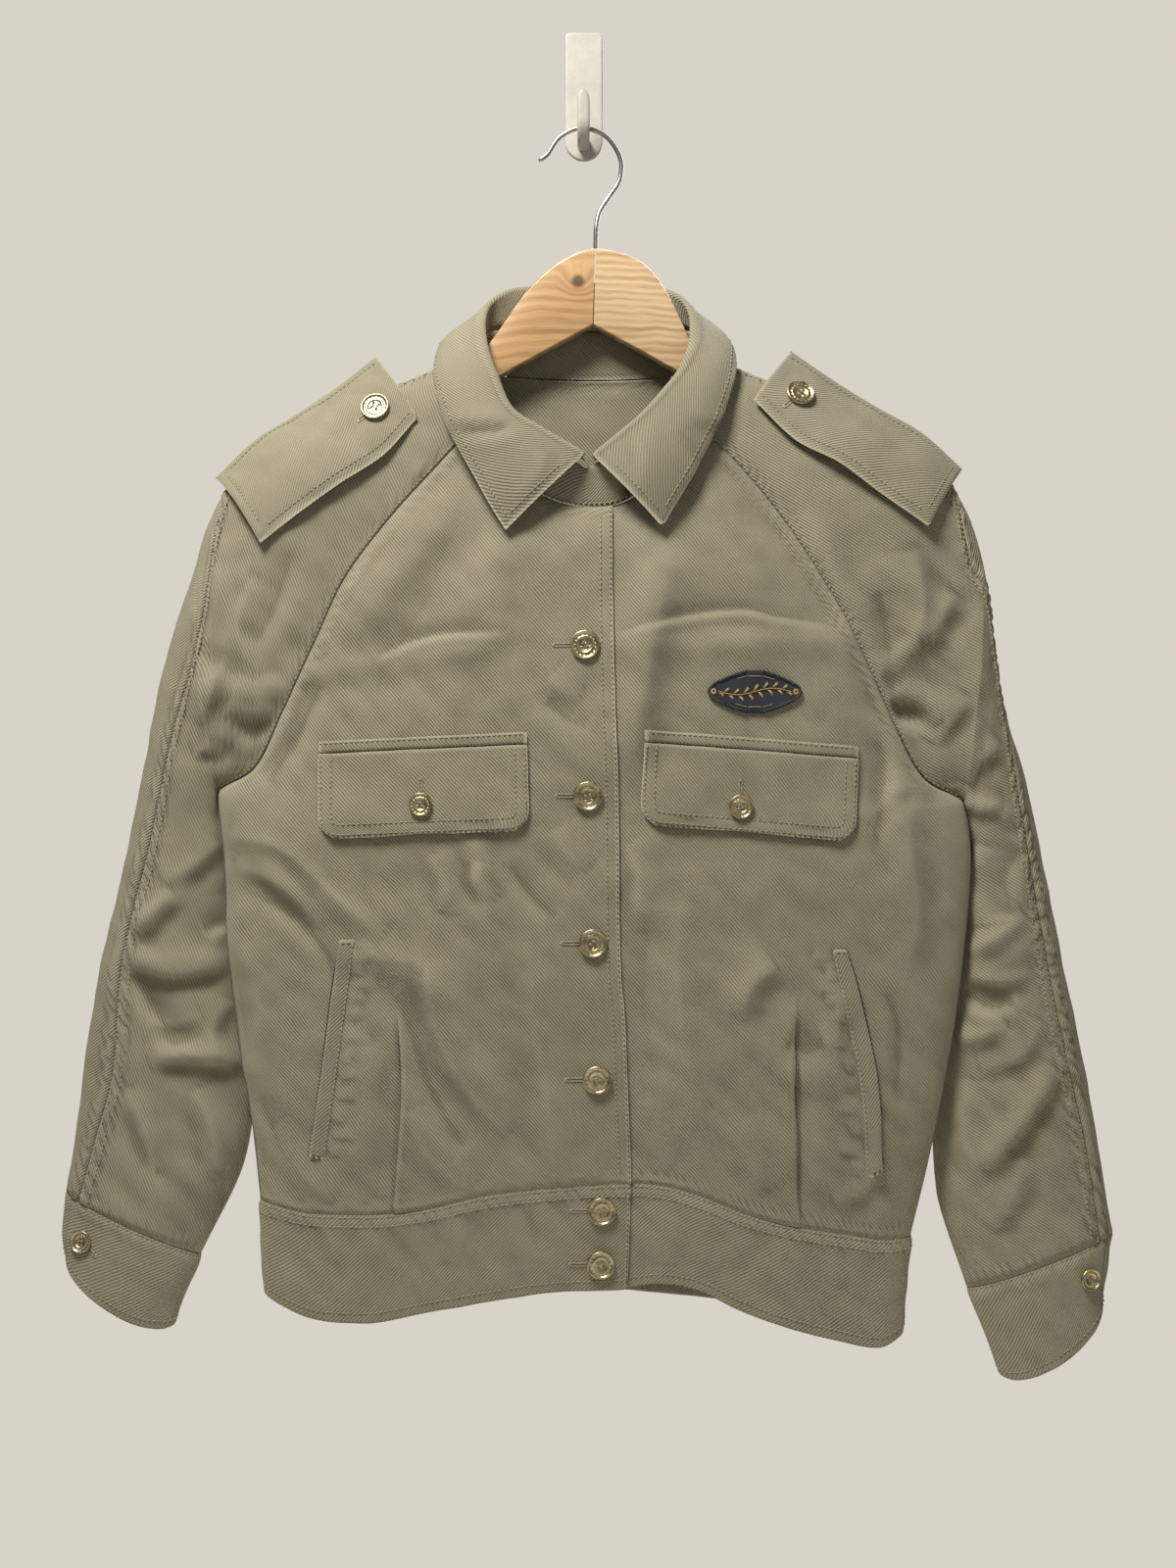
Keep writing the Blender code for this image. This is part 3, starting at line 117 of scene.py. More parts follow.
# Sleeves. Columns: station, x, z, depth of the outer edge; crown in front, crown behind,
# share of the width at which the overarm seam runs
OUTER_RIGHT = (
    (0, -85.1, -182.4, 19, 0, 0, 1), (0.1, -112.7, -194.9, 19, 1, 0, 1),
    (0.2, -149.4, -209.9, 19, 2, 0, 1), (0.3, -186.1, -227.6, 19, 4, 0, 1),
    (0.38, -216.2, -245.3, 19, 6, 0, 1), (0.46, -240.3, -271, 20, 8, 1, 0.97),
    (0.52, -253.8, -300.6, 21, 13, 5, 0.82), (0.56, -261, -324.8, 21, 18, 14, 0.66),
    (0.66, -283.7, -401.4, 22, 21, 15, 0.73), (0.74, -300.7, -490.3, 22, 20, 14, 0.8),
    (0.82, -319.6, -573.4, 22, 20, 14, 0.84), (0.9, -332.7, -648.5, 22, 20, 14, 0.8),
    (0.96, -339.2, -700.8, 22, 20, 13, 0.86), (1, -345.1, -736.2, 22, 19, 12, 0.88),
)
OUTER_LEFT = (
    (0, 87.8, -182.4, 19, 0, 0, 1), (0.1, 118, -194.9, 19, 1, 0, 1),
    (0.2, 158.6, -209.9, 19, 2, 0, 1), (0.3, 194, -227.6, 19, 4, 0, 1),
    (0.38, 222.8, -244, 19, 6, 0, 1), (0.46, 247.5, -269.1, 20, 8, 1, 0.97),
    (0.52, 261.1, -298.7, 21, 13, 5, 0.86), (0.56, 267, -321.6, 21, 18, 14, 0.9),
    (0.66, 277.9, -400.1, 22, 21, 15, 0.91), (0.74, 296.8, -473.3, 22, 20, 14, 0.84),
    (0.82, 313.2, -557, 22, 20, 14, 0.85), (0.9, 330.8, -638.7, 22, 20, 14, 0.87),
    (0.96, 343.9, -710.7, 22, 20, 13, 0.9), (1, 352.4, -763, 22, 19, 12, 0.88),
)
# Inner edge of the sleeves below the underarm. Columns: station, x, z, depth
INNER_RIGHT = (
    (0.56, -242.9, -472, 30), (0.6, -241.8, -494.9, 20), (0.66, -237.5, -521.2, 16),
    (0.74, -231, -567.3, 15), (0.82, -226, -619.9, 16), (0.9, -221.5, -668.8, 16),
    (0.96, -228.7, -722.5, 17), (1, -255.3, -777.8, 20),
)
INNER_LEFT = (
    (0.56, 251.5, -477.2, 30), (0.6, 255.9, -498.2, 21), (0.66, 255.6, -525.8, 16),
    (0.74, 248.8, -573.9, 15), (0.82, 242, -626.4, 16), (0.9, 233.1, -677.7, 16),
    (0.96, 236.3, -740.9, 17), (1, 255.4, -800.7, 20),
)
# Cuffs. Columns: station, outer x, z, depth, inner x, z, depth, drop of the lower edge in front
CUFF_RIGHT = (
    (0, -345.1, -736.2, 22, -255.3, -777.8, 20, 0),
    (0.5, -347, -756.2, 23, -264.1, -800.2, 22, 6),
    (1, -343.9, -776.8, 24, -272.1, -824.5, 24, 13),
)
CUFF_LEFT = (
    (0, 352.4, -763, 22, 255.4, -800.7, 20, 0),
    (0.5, 348, -786.3, 23, 266.8, -828.3, 22, 6),
    (1, 344, -808.8, 24, 276.8, -858.4, 24, 13),
)
# Collar from the centre front round one side to the centre back.
# Columns: station, x, z, depth of the roll, x, z, depth of the leaf's edge,
# share of the rise at which the stand ends
COLLAR_RIGHT = (
    (0, 0.7, -250.4, 52, -50.8, -300.7, 57, 0.84),
    (0.1, -14, -241.5, 51, -62, -283, 57, 0.83),
    (0.2, -29, -232.5, 50, -72, -264, 55, 0.82),
    (0.3, -45.4, -221, 48, -84, -243, 51, 0.8),
    (0.4, -55, -199, 42, -95, -219, 45, 0.76),
    (0.455, -62, -178, 35, -99.5, -198, 36, 0.7),
    (0.51, -64.5, -158, 26, -99.5, -180, 26, 0.62),
    (0.565, -62, -143, 18, -93, -166, 15, 0.56),
    (0.62, -52, -134, 13, -81, -171, 7, 0.52),
    (0.72, -38, -130.5, 10, -58, -189, 4, 0.5),
    (0.86, -17, -128.5, 9, -24, -195.5, 4, 0.5),
    (1, 5.3, -128, 9, 5.3, -196.5, 4, 0.5),
)
COLLAR_LEFT = (
    (0, 5.2, -251.6, 52, 51, -298.8, 57, 0.84),
    (0.1, 21, -238.5, 51, 62, -280, 57, 0.83),
    (0.2, 36, -225.5, 50, 73.5, -261, 55, 0.82),
    (0.3, 50.7, -208.5, 47, 86, -236, 50, 0.8),
    (0.4, 62.5, -191, 42, 96.5, -209, 43, 0.76),
    (0.455, 68.5, -172.5, 35, 101, -189, 34, 0.7),
    (0.51, 69.5, -156, 26, 100, -175, 24, 0.62),
    (0.565, 66, -141.5, 18, 94.5, -167, 14, 0.56),
    (0.62, 57, -134, 13, 84, -172, 7, 0.52),
    (0.72, 45, -130, 10, 66, -189, 4, 0.5),
    (0.86, 26, -128.5, 9, 34, -195.5, 4, 0.5),
    (1, 5.3, -128, 9, 5.3, -196.5, 4, 0.5),
)
# Epaulettes from the neck end to the shoulder end.
# Columns: share of the length, x, z, depth of the upper edge, x, z, depth of the lower edge
EPAULETTE_RIGHT = (
    (0, -140.7, -178.7, 14, -109.5, -225.1, 41),
    (0.25, -166.5, -199.2, 13, -132, -251.5, 47),
    (0.5, -193.2, -217.6, 13, -159.7, -270.8, 50),
    (0.75, -221.6, -235.6, 14, -188.8, -291.6, 50),
    (1, -247.1, -261.1, 17, -211.6, -309, 48),
)
EPAULETTE_LEFT = (
    (0, 139.5, -174.1, 14, 111.6, -212.2, 41),
    (0.25, 168.6, -194.3, 13, 138.1, -240.1, 47),
    (0.5, 196.9, -212, 13, 167, -255.9, 50),
    (0.75, 227, -229.3, 14, 196.7, -277.9, 50),
    (1, 254, -254.2, 17, 225.9, -297.4, 48),
)
# Chest flaps with their corners clockwise from the upper left. Columns: x, z
FLAP_RIGHT = ((-172.8, -446.0), (-36.7, -439.8), (-35.4, -494.7), (-171.7, -500.5))
FLAP_LEFT = ((38.8, -438.4), (178.8, -449.0), (175.7, -502.4), (37.0, -490.6))
# Slanting pocket welts. Columns: x, z of the outer edge, x, z of the inner edge
WELT_RIGHT = (
    (-158.1, -566.5, -147.9, -565.9), (-163.7, -602, -152.9, -602.5),
    (-170.8, -655, -160.4, -657), (-179.2, -708.4, -168.4, -711.6),
)
WELT_LEFT = (
    (170.3, -572.9, 160.9, -572.9), (178.7, -601.6, 167.7, -604.2),
    (191.4, -660.7, 179.8, -663.5), (194.4, -718.6, 183.9, -723.7),
)
# Pleats above the waistband. Columns: -z, x
PLEAT_RIGHT = ((560, -124.0), (626, -120.7), (655, -118.6), (691, -120.0), (722, -122.7), (747, -124.1))
PLEAT_LEFT = ((560, 136.0), (630, 137.4), (667, 137.2), (691, 138.3), (732, 138.8), (756, 140.9))
# Large folds and hollows of the front. Columns: x, z of one end, x, z of the other, height, width
FOLDS = (
    (-92, -290, -150, -372, 3.5, 13), (-70, -298, -112, -395, -3, 14),
    (-58, -305, -60, -372, 2.5, 12), (-30, -330, -24, -410, -1.8, 14),
    (-176, -392, -60, -376, 2, 9), (28, -376, 160, -370, 2, 9),
    (52, -318, 30, -440, 3.2, 14), (82, -250, 122, -372, 3.5, 13),
    (108, -268, 168, -362, -3.4, 12), (150, -300, 178, -372, 3.4, 11),
    (-236, -500, -136, -566, 3.2, 12), (-166, -573, -84, -600, 3, 12),
    (-90, -600, -46, -688, 3, 13), (-72, -506, -62, -560, 2.4, 9),
    (190, -452, 196, -524, -2.6, 11), (122, -582, 98, -616, 2.8, 13),
    (60, -560, 64, -690, 2.4, 18), (-140, -640, -150, -716, 3, 13),
    (150, -650, 156, -730, 3, 13), (-20, -590, -14, -700, 1.8, 15),
    (-252, -400, -196, -402, 3, 9), (-262, -444, -226, -442, -2.6, 9),
    (-292, -560, -262, -530, 3, 9), (-298, -580, -238, -580, 2.8, 9),
    (-298, -588, -266, -636, -2.6, 10), (-285, -642, -232, -648, 2.8, 10),
    (196, -390, 232, -362, 3, 10), (206, -414, 238, -432, -2.8, 10),
    (250, -480, 284, -486, 2.8, 9), (254, -580, 296, -566, 3, 10),
    (250, -636, 284, -630, 2.6, 10), (262, -716, 312, -652, 3, 12),
)
# Hanger arms from the middle outward. Columns: x, z of the upper edge, x, z of the lower edge
ARM_RIGHT = (
    (7.6, -108.4, 5.9, -160.1), (-4.5, -111, -9.1, -168.3), (-19.6, -119.5, -27.7, -178.4),
    (-34.7, -133.3, -43.7, -187.2), (-47.8, -150.3, -57.7, -195.2), (-62.9, -171.6, -70.5, -201.8),
    (-82.5, -191.7, -86.5, -212.3), (-102.2, -201.5, -106.2, -222.1), (-128.4, -213.6, -132.4, -234.6),
    (-161.2, -229, -165.2, -250.7), (-193.9, -246.4, -197.9, -267.1), (-213.9, -260.5, -210, -276.2),
)
ARM_LEFT = (
    (7.9, -108.4, 6.2, -160.1), (22.3, -111, 24.9, -170.2), (40, -118.9, 42.6, -179.9),
    (53.4, -134.9, 56.6, -187.9), (63.9, -154.9, 67.2, -193.7), (74.1, -175.9, 78.2, -200.9),
    (91.4, -193.3, 94.4, -213.3), (112.1, -202.1, 116.1, -223.1), (140.3, -213.6, 144.3, -234.6),
    (172.4, -229, 176.4, -250.7), (204.5, -246.4, 207.5, -267.1), (223.8, -260.5, 219.9, -276.2),
)
ARM_DEPTH = 20.5
ARM_THICK = 10.0
UPPER_BEVEL, LOWER_BEVEL = 2.4, 1.6
# Wire hook from its tip to the wood. Columns: x, z, depth
WIRE = (
    (-30.2, -48.1, 17), (-24.2, -43.5, 17), (-18.3, -34.3, 17), (-11.4, -29.1, 17),
    (-3.2, -26.4, 17), (5, -27.1, 17), (14.5, -31.7, 17), (21.4, -40.2, 17),
    (25, -50.7, 17), (23.7, -61.2, 17), (18.4, -69.9, 17.5), (11.8, -79.9, 18.5),
    (9.2, -86.6, 19.5), (8, -95.9, 20.5), (7.7, -107.5, 20.5),
)
WIRE_RADIUS = 1.5
# Wall hook
PLATE_WIDTH = 25.2
PLATE_TOP = 43.2
PLATE_FOOT = -43.2
PEG_WIDTH = 8.4
# Peg seen from the side. Columns: depth, z of its centre line, half height or thickness
PEG = ((3.4, -32.2, 5.0), (12.0, -33.0, 4.4), (19.5, -32.0, 3.6), (24.0, -27.0, 2.8),
       (25.4, -18, 2.4), (26, -4, 2.2))
# Buttons. Columns: name, x, z, radius, what it lies on
BUTTONS = (
    ("button_front_1", 0.8, -375.4, 9.5, "front_right"),
    ("button_front_2", 2.7, -473.1, 9.5, "front_right"),
    ("button_front_3", 5.8, -568.6, 9.2, "front_right"),
    ("button_front_4", 8.4, -657.2, 9.2, "front_right"),
    ("button_band_1", 11.6, -743.1, 9.2, "waistband"), ("button_band_2", 10.9, -778.6, 9.2, "waistband"),
    ("button_flap_right", -105.5, -478.8, 7.6, "flap_right"),
    ("button_flap_left", 101.4, -480.1, 7.9, "flap_left"),
    ("button_epaulette_right", -137.4, -217.6, 9.5, "epaulette_right"),
    ("button_epaulette_left", 142.7, -207.9, 9.5, "epaulette_left"),
    ("button_cuff_right", -331.2, -767.1, 7.4, "cuff_right"),
    ("button_cuff_left", 333, -791.6, 7.4, "cuff_left"),
)
BUTTON_THICK = 2.6
# Chest patch: a rounded lozenge. Columns: centre x, z, half width, half height
PATCH = (111.0, -405.5, 31.0, 14.0)
# How far the left front is pressed back by the right one that laps over it, and how far it reaches under it
LAP_DROP = 2.5
LAP_WIDTH = 34.0
# Depth of the trunk at the back and at the waistband's sides, and how full its front and back curve
BACK_DEPTH = 6.5
BAND_SIDE_DEPTH = 34
FRONT_FULLNESS = 2.7
BACK_FULLNESS = 2.2
# Collar: radius of its roll, height of the leaf's belly beside the neck and behind it
ROLL_RADIUS = 2.9
LEAF_BELLY = 5.0
LEAF_BELLY_BACK = 2.4
# Collar's shares at which the neck passes from the front to the sleeve and from the sleeve to the back
NECK_TO_SLEEVE = 0.4
NECK_TO_BACK = 0.62
EPAULETTE_ROWS = 11
EPAULETTE_BULGE = 2.0


def at(table, key):
    """The table's columns at a key, on a smooth curve through its rows."""
    last = len(table) - 1
    key = min(max(key, table[0][0]), table[last][0])
    i = 0
    while i < last - 1 and key > table[i + 1][0]:
        i += 1
    a, b = table[i], table[i + 1]
    h = b[0] - a[0]
    t = (key - a[0]) / h
    out = []
    for c in range(1, len(a)):
        slope = (b[c] - a[c]) / h
        before = slope if i == 0 else (a[c] - table[i - 1][c]) / (a[0] - table[i - 1][0])
        after = slope if i == last - 1 else (table[i + 2][c] - b[c]) / (table[i + 2][0] - b[0])
        m0 = 0.5 * (slope + before) if slope * before > 0 else 0.0
        m1 = 0.5 * (slope + after) if slope * after > 0 else 0.0
        if abs(m0) > 3 * abs(slope):
            m0 = 3 * slope
        if abs(m1) > 3 * abs(slope):
            m1 = 3 * slope
        t2, t3 = t * t, t * t * t
        out.append((2 * t3 - 3 * t2 + 1) * a[c] + (t3 - 2 * t2 + t) * h * m0
                   + (3 * t2 - 2 * t3) * b[c] + (t3 - t2) * h * m1)
    return out


def mix(a, b, t):
    return a + (b - a) * t


def ease(a, b, t):
    t = min(max((t - a) / (b - a), 0.0), 1.0)
    return t * t * (3 - 2 * t)


def hump(t):
    """Rises from 0 to 1 and falls back to 0 as t goes from 0 to 1."""
    return math.sin(math.pi * t)


def half_turn(t):
    """Goes from 0 to 1 with t, as a half turn seen from the side does."""
    return (1 - math.cos(math.pi * t)) / 2


def point(x, z, depth):
    return Vector((x, -depth, z))


def relief(x, z):
    """Height of the large folds at a place on the front."""
    total = 0.0
    for ax, az, bx, bz, height, width in FOLDS:
        dx, dz = bx - ax, bz - az
        length = math.hypot(dx, dz)
        along = ((x - ax) * dx + (z - az) * dz) / length
        across = ((x - ax) * dz - (z - az) * dx) / length
        if abs(across) > 3 * width or along < -0.3 * length or along > 1.3 * length:
            continue
        ends = ease(-0.25, 0.2, along / length) * (1 - ease(0.8, 1.25, along / length))
        total += height * ends * math.exp(-(across / width) ** 2)
    return total


def side_rows(side):
    return (SEAM_RIGHT, BACK_RIGHT, OUTER_RIGHT, INNER_RIGHT) if side < 0 else (
        SEAM_LEFT, BACK_LEFT, OUTER_LEFT, INNER_LEFT)


def crown_shape(u, v):
    a = abs(2 * u - 1)
    full = (1 - a ** FRONT_FULLNESS) ** (1 / FRONT_FULLNESS)
    return mix(1 - a ** BACK_FULLNESS, full, ease(0.40, 0.60, v))


def pleat_step(x, z, v):
    """The lap of a pleat: raised on its inner side, pressed down on its outer side."""
    total = 0.0
    strength = 3.2 * ease(0.80, 0.90, v) * (1 - 0.75 * ease(0.95, 1.0, v))
    if strength > 0:
        for table, inner in ((PLEAT_RIGHT, 1), (PLEAT_LEFT, -1)):
            gap = (x - at(table, -z)[0]) * inner
            if gap > 0:
                total += strength * math.exp(-gap / 16)
            else:
                total -= 0.4 * strength * math.exp(gap / 16)
    return total


def front_point(u, v):
    lx, lz, ld = at(SEAM_RIGHT, v)
    rx, rz, rd = at(SEAM_LEFT, v)
    x = mix(lx, rx, u)
    top = at(NECK_FRONT, u)[0] - mix(NECK_FRONT[0][1], NECK_FRONT[-1][1], u)
    foot = at(WAIST_FRONT, u)[0] - mix(WAIST_FRONT[0][1], WAIST_FRONT[-1][1], u)
    z = mix(lz, rz, u) + (1 - v) ** 1.5 * top + v * foot
    side = mix(ld, rd, u)
    shape = crown_shape(u, v)
    depth = side + (at(CROWN_FRONT, v)[0] - side) * shape
    low = ease(0.46, 0.56, v)
    edge = min(u, 1 - u)
    fade = ease(0.0, 0.05, v) * (1 - ease(0.95, 1.0, v)) * mix(1, ease(0.0, 0.09, edge), low)
    return point(x, z, depth + relief(x, z) * fade + pleat_step(x, z, v))


def last_share(low, high, before, rounds=24):
    """The last share between low and high that lies before a limit."""
    for _ in range(rounds):
        mid = 0.5 * (low + high)
        if before(mid):
            low = mid
        else:
            high = mid
    return 0.5 * (low + high)


def edge_share(v, offset=0.0):
    """Share of the front's width at which the right front's edge lies."""
    def before(share):
        p = front_point(share, v)
        return p.x < at(FRONT_EDGE, -p.z)[0] + offset

    return last_share(0.3, 0.8, before)


def pleat_share(table, v):
    """Share of the front's width at which a pleat lies."""
    def before(share):
        p = front_point(share, v)
        return p.x < at(table, -p.z)[0]

    return last_share(0.1, 0.95, before, rounds=22)


def under_lap(p):
    """A point of the left front, pressed back where the right front covers it."""
    gap = p.x - at(FRONT_EDGE, -p.z)[0]
    drop = LAP_DROP * (1 - ease(1.0, 24.0, gap))
    return p + Vector((0, drop, 0))


def back_side(side, v):
    seam, back, _, _ = side_rows(side)
    return at(back, v) if v <= UNDERARM else at(seam, v)


def back_point(u, v):
    lx, lz, ld = back_side(-1, v)
    rx, rz, rd = back_side(1, v)
    x = mix(lx, rx, u)
    dip = 4 * u * (1 - u)
    z = mix(lz, rz, u) - 4.4 * dip * (1 - v) ** 2 + 3.0 * dip * v
    side = mix(ld, rd, u)
    level = 1 - abs(2 * u - 1) ** BACK_FULLNESS
    shape = mix(level, level ** (1 / BACK_FULLNESS), ease(0.44, 0.60, v))
    sway = 1.2 * math.sin(9 * u + 5 * v) * shape * ease(0.1, 0.3, v) * (1 - ease(0.85, 1.0, v))
    return point(x, z, side + (BACK_DEPTH - side) * shape + max(sway, -0.8))


def across_sleeve(ring, w):
    """How far across the sleeve's front a ring lies: a quarter turn at the shoulder, a half turn below."""
    return mix(math.sin(math.pi * ring / 2), half_turn(ring), w)


def sleeve_point(side, t, ring):
    """Ring 0 is the front raglan seam or inner edge, 1 the outer edge, 2 the back seam."""
    seam, back, outer, inner = side_rows(side)
    ox, oz, od, front_crown, back_crown, _ = at(outer, t)
    w = ease(0.36, 0.60, t)
    if t <= UNDERARM:
        sx, sz, sd = at(seam, t) if ring <= 1 else at(back, t)
    else:
        sx, sz, sd = at(inner, t)
    if ring <= 1:
        pos = across_sleeve(ring, w)
        depth = mix(od + (sd - od) * math.cos(math.pi * ring / 2), mix(sd, od, pos), w)
        depth += front_crown * hump(ring)
        x, z = mix(sx, ox, pos), mix(sz, oz, pos)
        fade = ease(0.0, 0.05, t) * (1 - ease(0.95, 1.0, t)) * (1 - ease(0.75, 1.0, ring))
        fade *= mix(1, ease(0.0, 0.2, ring), ease(0.46, 0.56, t))
        depth += relief(x, z) * fade
    else:
        r = ring - 1
        bend = min(2.2 * abs(sd - od) / max(math.hypot(ox - sx, oz - sz), 1.0), 0.8)
        turned = min(r / 0.35, 1.0)
        near = mix(bend, 1.0, (r - 0.35) / 0.65)
        if r < 0.35:
            near = bend * (1 - math.cos(math.pi * turned / 2))
        pos = mix(near, half_turn(r), w)
        depth = mix(od + (sd - od) * math.sin(math.pi * turned / 2), mix(od, sd, pos), w)
        depth -= back_crown * hump(r)
        x, z = mix(ox, sx, pos), mix(oz, sz, pos)
    return point(x, z, depth)


def overarm_ring(side, t):
    """The ring at which the overarm seam runs."""
    share = at(OUTER_RIGHT if side < 0 else OUTER_LEFT, t)[5]
    w = ease(0.36, 0.60, t)
    return last_share(0.0, 1.0, lambda ring: across_sleeve(ring, w) < share)


def cuff_point(side, r, ring):
    ox, oz, od, ix, iz, idp, drop = at(CUFF_RIGHT if side < 0 else CUFF_LEFT, r)
    if ring <= 1:
        pos = half_turn(ring)
        depth = mix(idp, od, pos) + mix(19, 18, r) * hump(ring)
        fall = drop * hump(ring)
        x, z = mix(ix, ox, pos), mix(iz, oz, pos)
    else:
        q = ring - 1
        pos = half_turn(q)
        depth = mix(od, idp, pos) - mix(12, 14, r) * hump(q)
        fall = 0.25 * drop * hump(q)
        x, z = mix(ox, ix, pos), mix(oz, iz, pos)
    cx, cz = ox - ix, oz - iz
    length = math.hypot(cx, cz)
    nx, nz = (cz / length, -cx / length)
    if nz > 0:
        nx, nz = -nx, -nz
    return point(x + nx * fall, z + nz * fall, depth)


def band_place(u, r, z, middle_depth, fullness):
    x = mix(mix(-214.3, -211.7, r), mix(216.4, 210.5, r), u)
    shape = (1 - abs(2 * u - 1) ** fullness) ** (1 / fullness)
    return point(x, z, BAND_SIDE_DEPTH + (middle_depth - BAND_SIDE_DEPTH) * shape)


def band_front(u, r):
    z = mix(at(WAIST_FRONT, u)[0], at(HEM_FRONT, u)[0], r)
    return band_place(u, r, z, mix(55, 51, r), FRONT_FULLNESS)


def band_back(u, r):
    z = mix(mix(-739.4, -762.8, u), mix(-802.3, -828.8, u), r) + 4 * u * (1 - u) * mix(3.0, 11.0, r)
    return band_place(u, r, z, BACK_DEPTH, BACK_FULLNESS)


def neck_base(side, s):
    """The place on the neckline below the collar's share s."""
    if s <= NECK_TO_SLEEVE:
        share = mix(0.52, 0.0 if side < 0 else 1.0, s / NECK_TO_SLEEVE)
        return front_point(share, 0.0)
    if s <= NECK_TO_BACK:
        return sleeve_point(side, 0.0, (s - NECK_TO_SLEEVE) / 0.22 * 2)
    share = (s - NECK_TO_BACK) / 0.38 * 0.5
    return back_point(share if side < 0 else 1 - share, 0.0)


def collar_rows(side, s):
    """Neckline, roll, leaf's edge, the stand's share and the ways out and up, at a share of the collar."""
    table = COLLAR_RIGHT if side < 0 else COLLAR_LEFT
    rx, rz, rd, ex, ez, ed, split = at(table, s)
    base = neck_base(side, s)
    roll = point(rx, rz, rd)
    edge = point(ex, ez, ed)
    ax, az, ad = at(table, max(s - 0.03, 0))[:3]
    bx, bz, bd = at(table, min(s + 0.03, 1))[:3]
    along = point(bx, bz, bd) - point(ax, az, ad)
    out = Vector((along.y, -along.x, 0))
    if out.dot(Vector((rx - 3, -(rd - 27), 0))) < 0:
        out = -out
    out.normalize()
    along.normalize()
    rise = roll - base
    rise -= along * rise.dot(along)
    return base, roll, edge, split, out, rise.normalized()


# Outer surface of each panel, by its node
skins = {}


def clearance(p, names):
    """Distance to the nearest skin, negative behind it. Where two skins meet, in front of one is enough."""
    found = []
    for name in names:
        near, n, _, dist = skins[name].find_nearest(p)
        if near is not None:
            found.append((dist, (p - near).dot(n)))
    least = min(found)[0]
    before = any(dist < least + 0.05 and dot > 0 for dist, dot in found)
    return least if before else -least


def arch(table, t, lift, count):
    """Places across an epaulette at a share of its length, lifted off the shoulder."""
    ux, uz, ud, lx, lz, ld = at(table, t)
    upper, lower = point(ux, uz, ud), point(lx, lz, ld)
    across = lower - upper
    outward = Vector((0, across.z, -across.y)).normalized()
    if outward.z < 0:
        outward = -outward
    out = []
    for m in range(count):
        s = m / (count - 1)
        rise = 0.35 * lift + (EPAULETTE_BULGE + lift) * hump(s)
        out.append(upper.lerp(lower, s) + outward * rise)
    return out


def push_off(p, names, gap):
    """The point moved off the skins until it clears them."""
    for _ in range(4):
        for name in names:
            near, n, _, dist = skins[name].find_nearest(p)
            if near is None:
                continue
            side = (p - near).dot(n)
            if side < gap and dist < 25:
                p = p + n * (gap - side)
    return p


# Creases, placed along curves through their spots in the photograph's pixels.
# Columns: height in mm, width in mm, then x, y of each spot
PHOTO_CENTRE = (600, 800)
PHOTO_CENTRE_MM = (2.66, -465.5)
FRONT_MM_PER_PIXEL = 0.638
SLEEVE_MM_PER_PIXEL = 0.647
FRONT_CREASES = (
    (-1.3, 2.8, 380, 668, 413, 654, 447, 645, 481, 643, 520, 644),
    (-1.3, 2.8, 631, 645, 670, 634, 712, 624, 757, 620, 796, 627, 847, 633),
    (1.3, 12, 441, 500, 400, 560, 345, 645, 330, 700),
    (-1.2, 10, 470, 520, 440, 600, 405, 660, 372, 720),
    (1.6, 10, 683, 572, 660, 680, 646, 756, 634, 820),
    (-1.2, 9, 726, 455, 740, 516, 790, 640),
    (1.4, 9, 768, 432, 824, 516, 850, 590),
    (-1.3, 5, 893, 749, 902, 779, 896, 837, 890, 875),
    (1.4, 8, 940, 800, 925, 850, 935, 930, 920, 1010),
    (2.2, 6, 231, 852, 293, 869, 349, 919, 391, 953),
    (1.6, 5, 236, 880, 290, 905, 330, 945),
    (-1.4, 5, 240, 905, 300, 935, 335, 975, 345, 1010),
    (2, 7, 355, 973, 431, 983, 444, 1043, 470, 1098, 517, 1155),
    (-1.6, 7, 395, 1000, 420, 1050, 440, 1110, 475, 1170),
    (1.5, 4, 490, 878, 487, 895, 502, 918),
    (1.2, 5, 440, 872, 455, 905, 452, 930),
    (-1, 5, 520, 880, 545, 915, 570, 935),
    (1.7, 6, 791, 986, 766, 1004, 753, 1037),
    (-1.6, 8, 800, 1060, 822, 1069, 842, 1062),
    (1.2, 9, 700, 900, 690, 980, 700, 1070, 720, 1150),
    (-1.1, 9, 660, 930, 655, 1010, 668, 1100),
    (1.2, 8, 540, 960, 545, 1040, 560, 1130, 565, 1190),
    (1.1, 6, 560, 690, 575, 705, 592, 712),
    (-1, 6, 558, 712, 575, 730, 600, 742),
    (1.2, 7, 565, 845, 580, 870, 600, 885),
    (1.2, 6, 862, 1010, 850, 1060, 858, 1120),
    (-1.1, 5, 905, 1010, 918, 1060, 915, 1130),
    (1.3, 6, 905, 1190, 880, 1215, 850, 1225),
    (1.4, 6, 275, 1150, 300, 1190, 340, 1222),
    (-1.2, 5, 262, 1120, 285, 1170, 310, 1205),
    (1.3, 7, 415, 1130, 440, 1180, 480, 1212),
    (1.2, 8, 720, 1130, 760, 1170, 780, 1215),
    (1.1, 8, 250, 960, 262, 1030, 258, 1100),
    (1.2, 5, 640, 860, 652, 900, 650, 950),
    (1.2, 7, 300, 700, 285, 745, 262, 780),
    (-1.3, 6, 330, 690, 300, 750, 270, 800),
    (-1.2, 7, 868, 640, 885, 690, 905, 740),
    (1.2, 5, 935, 800, 905, 815, 885, 840),
)
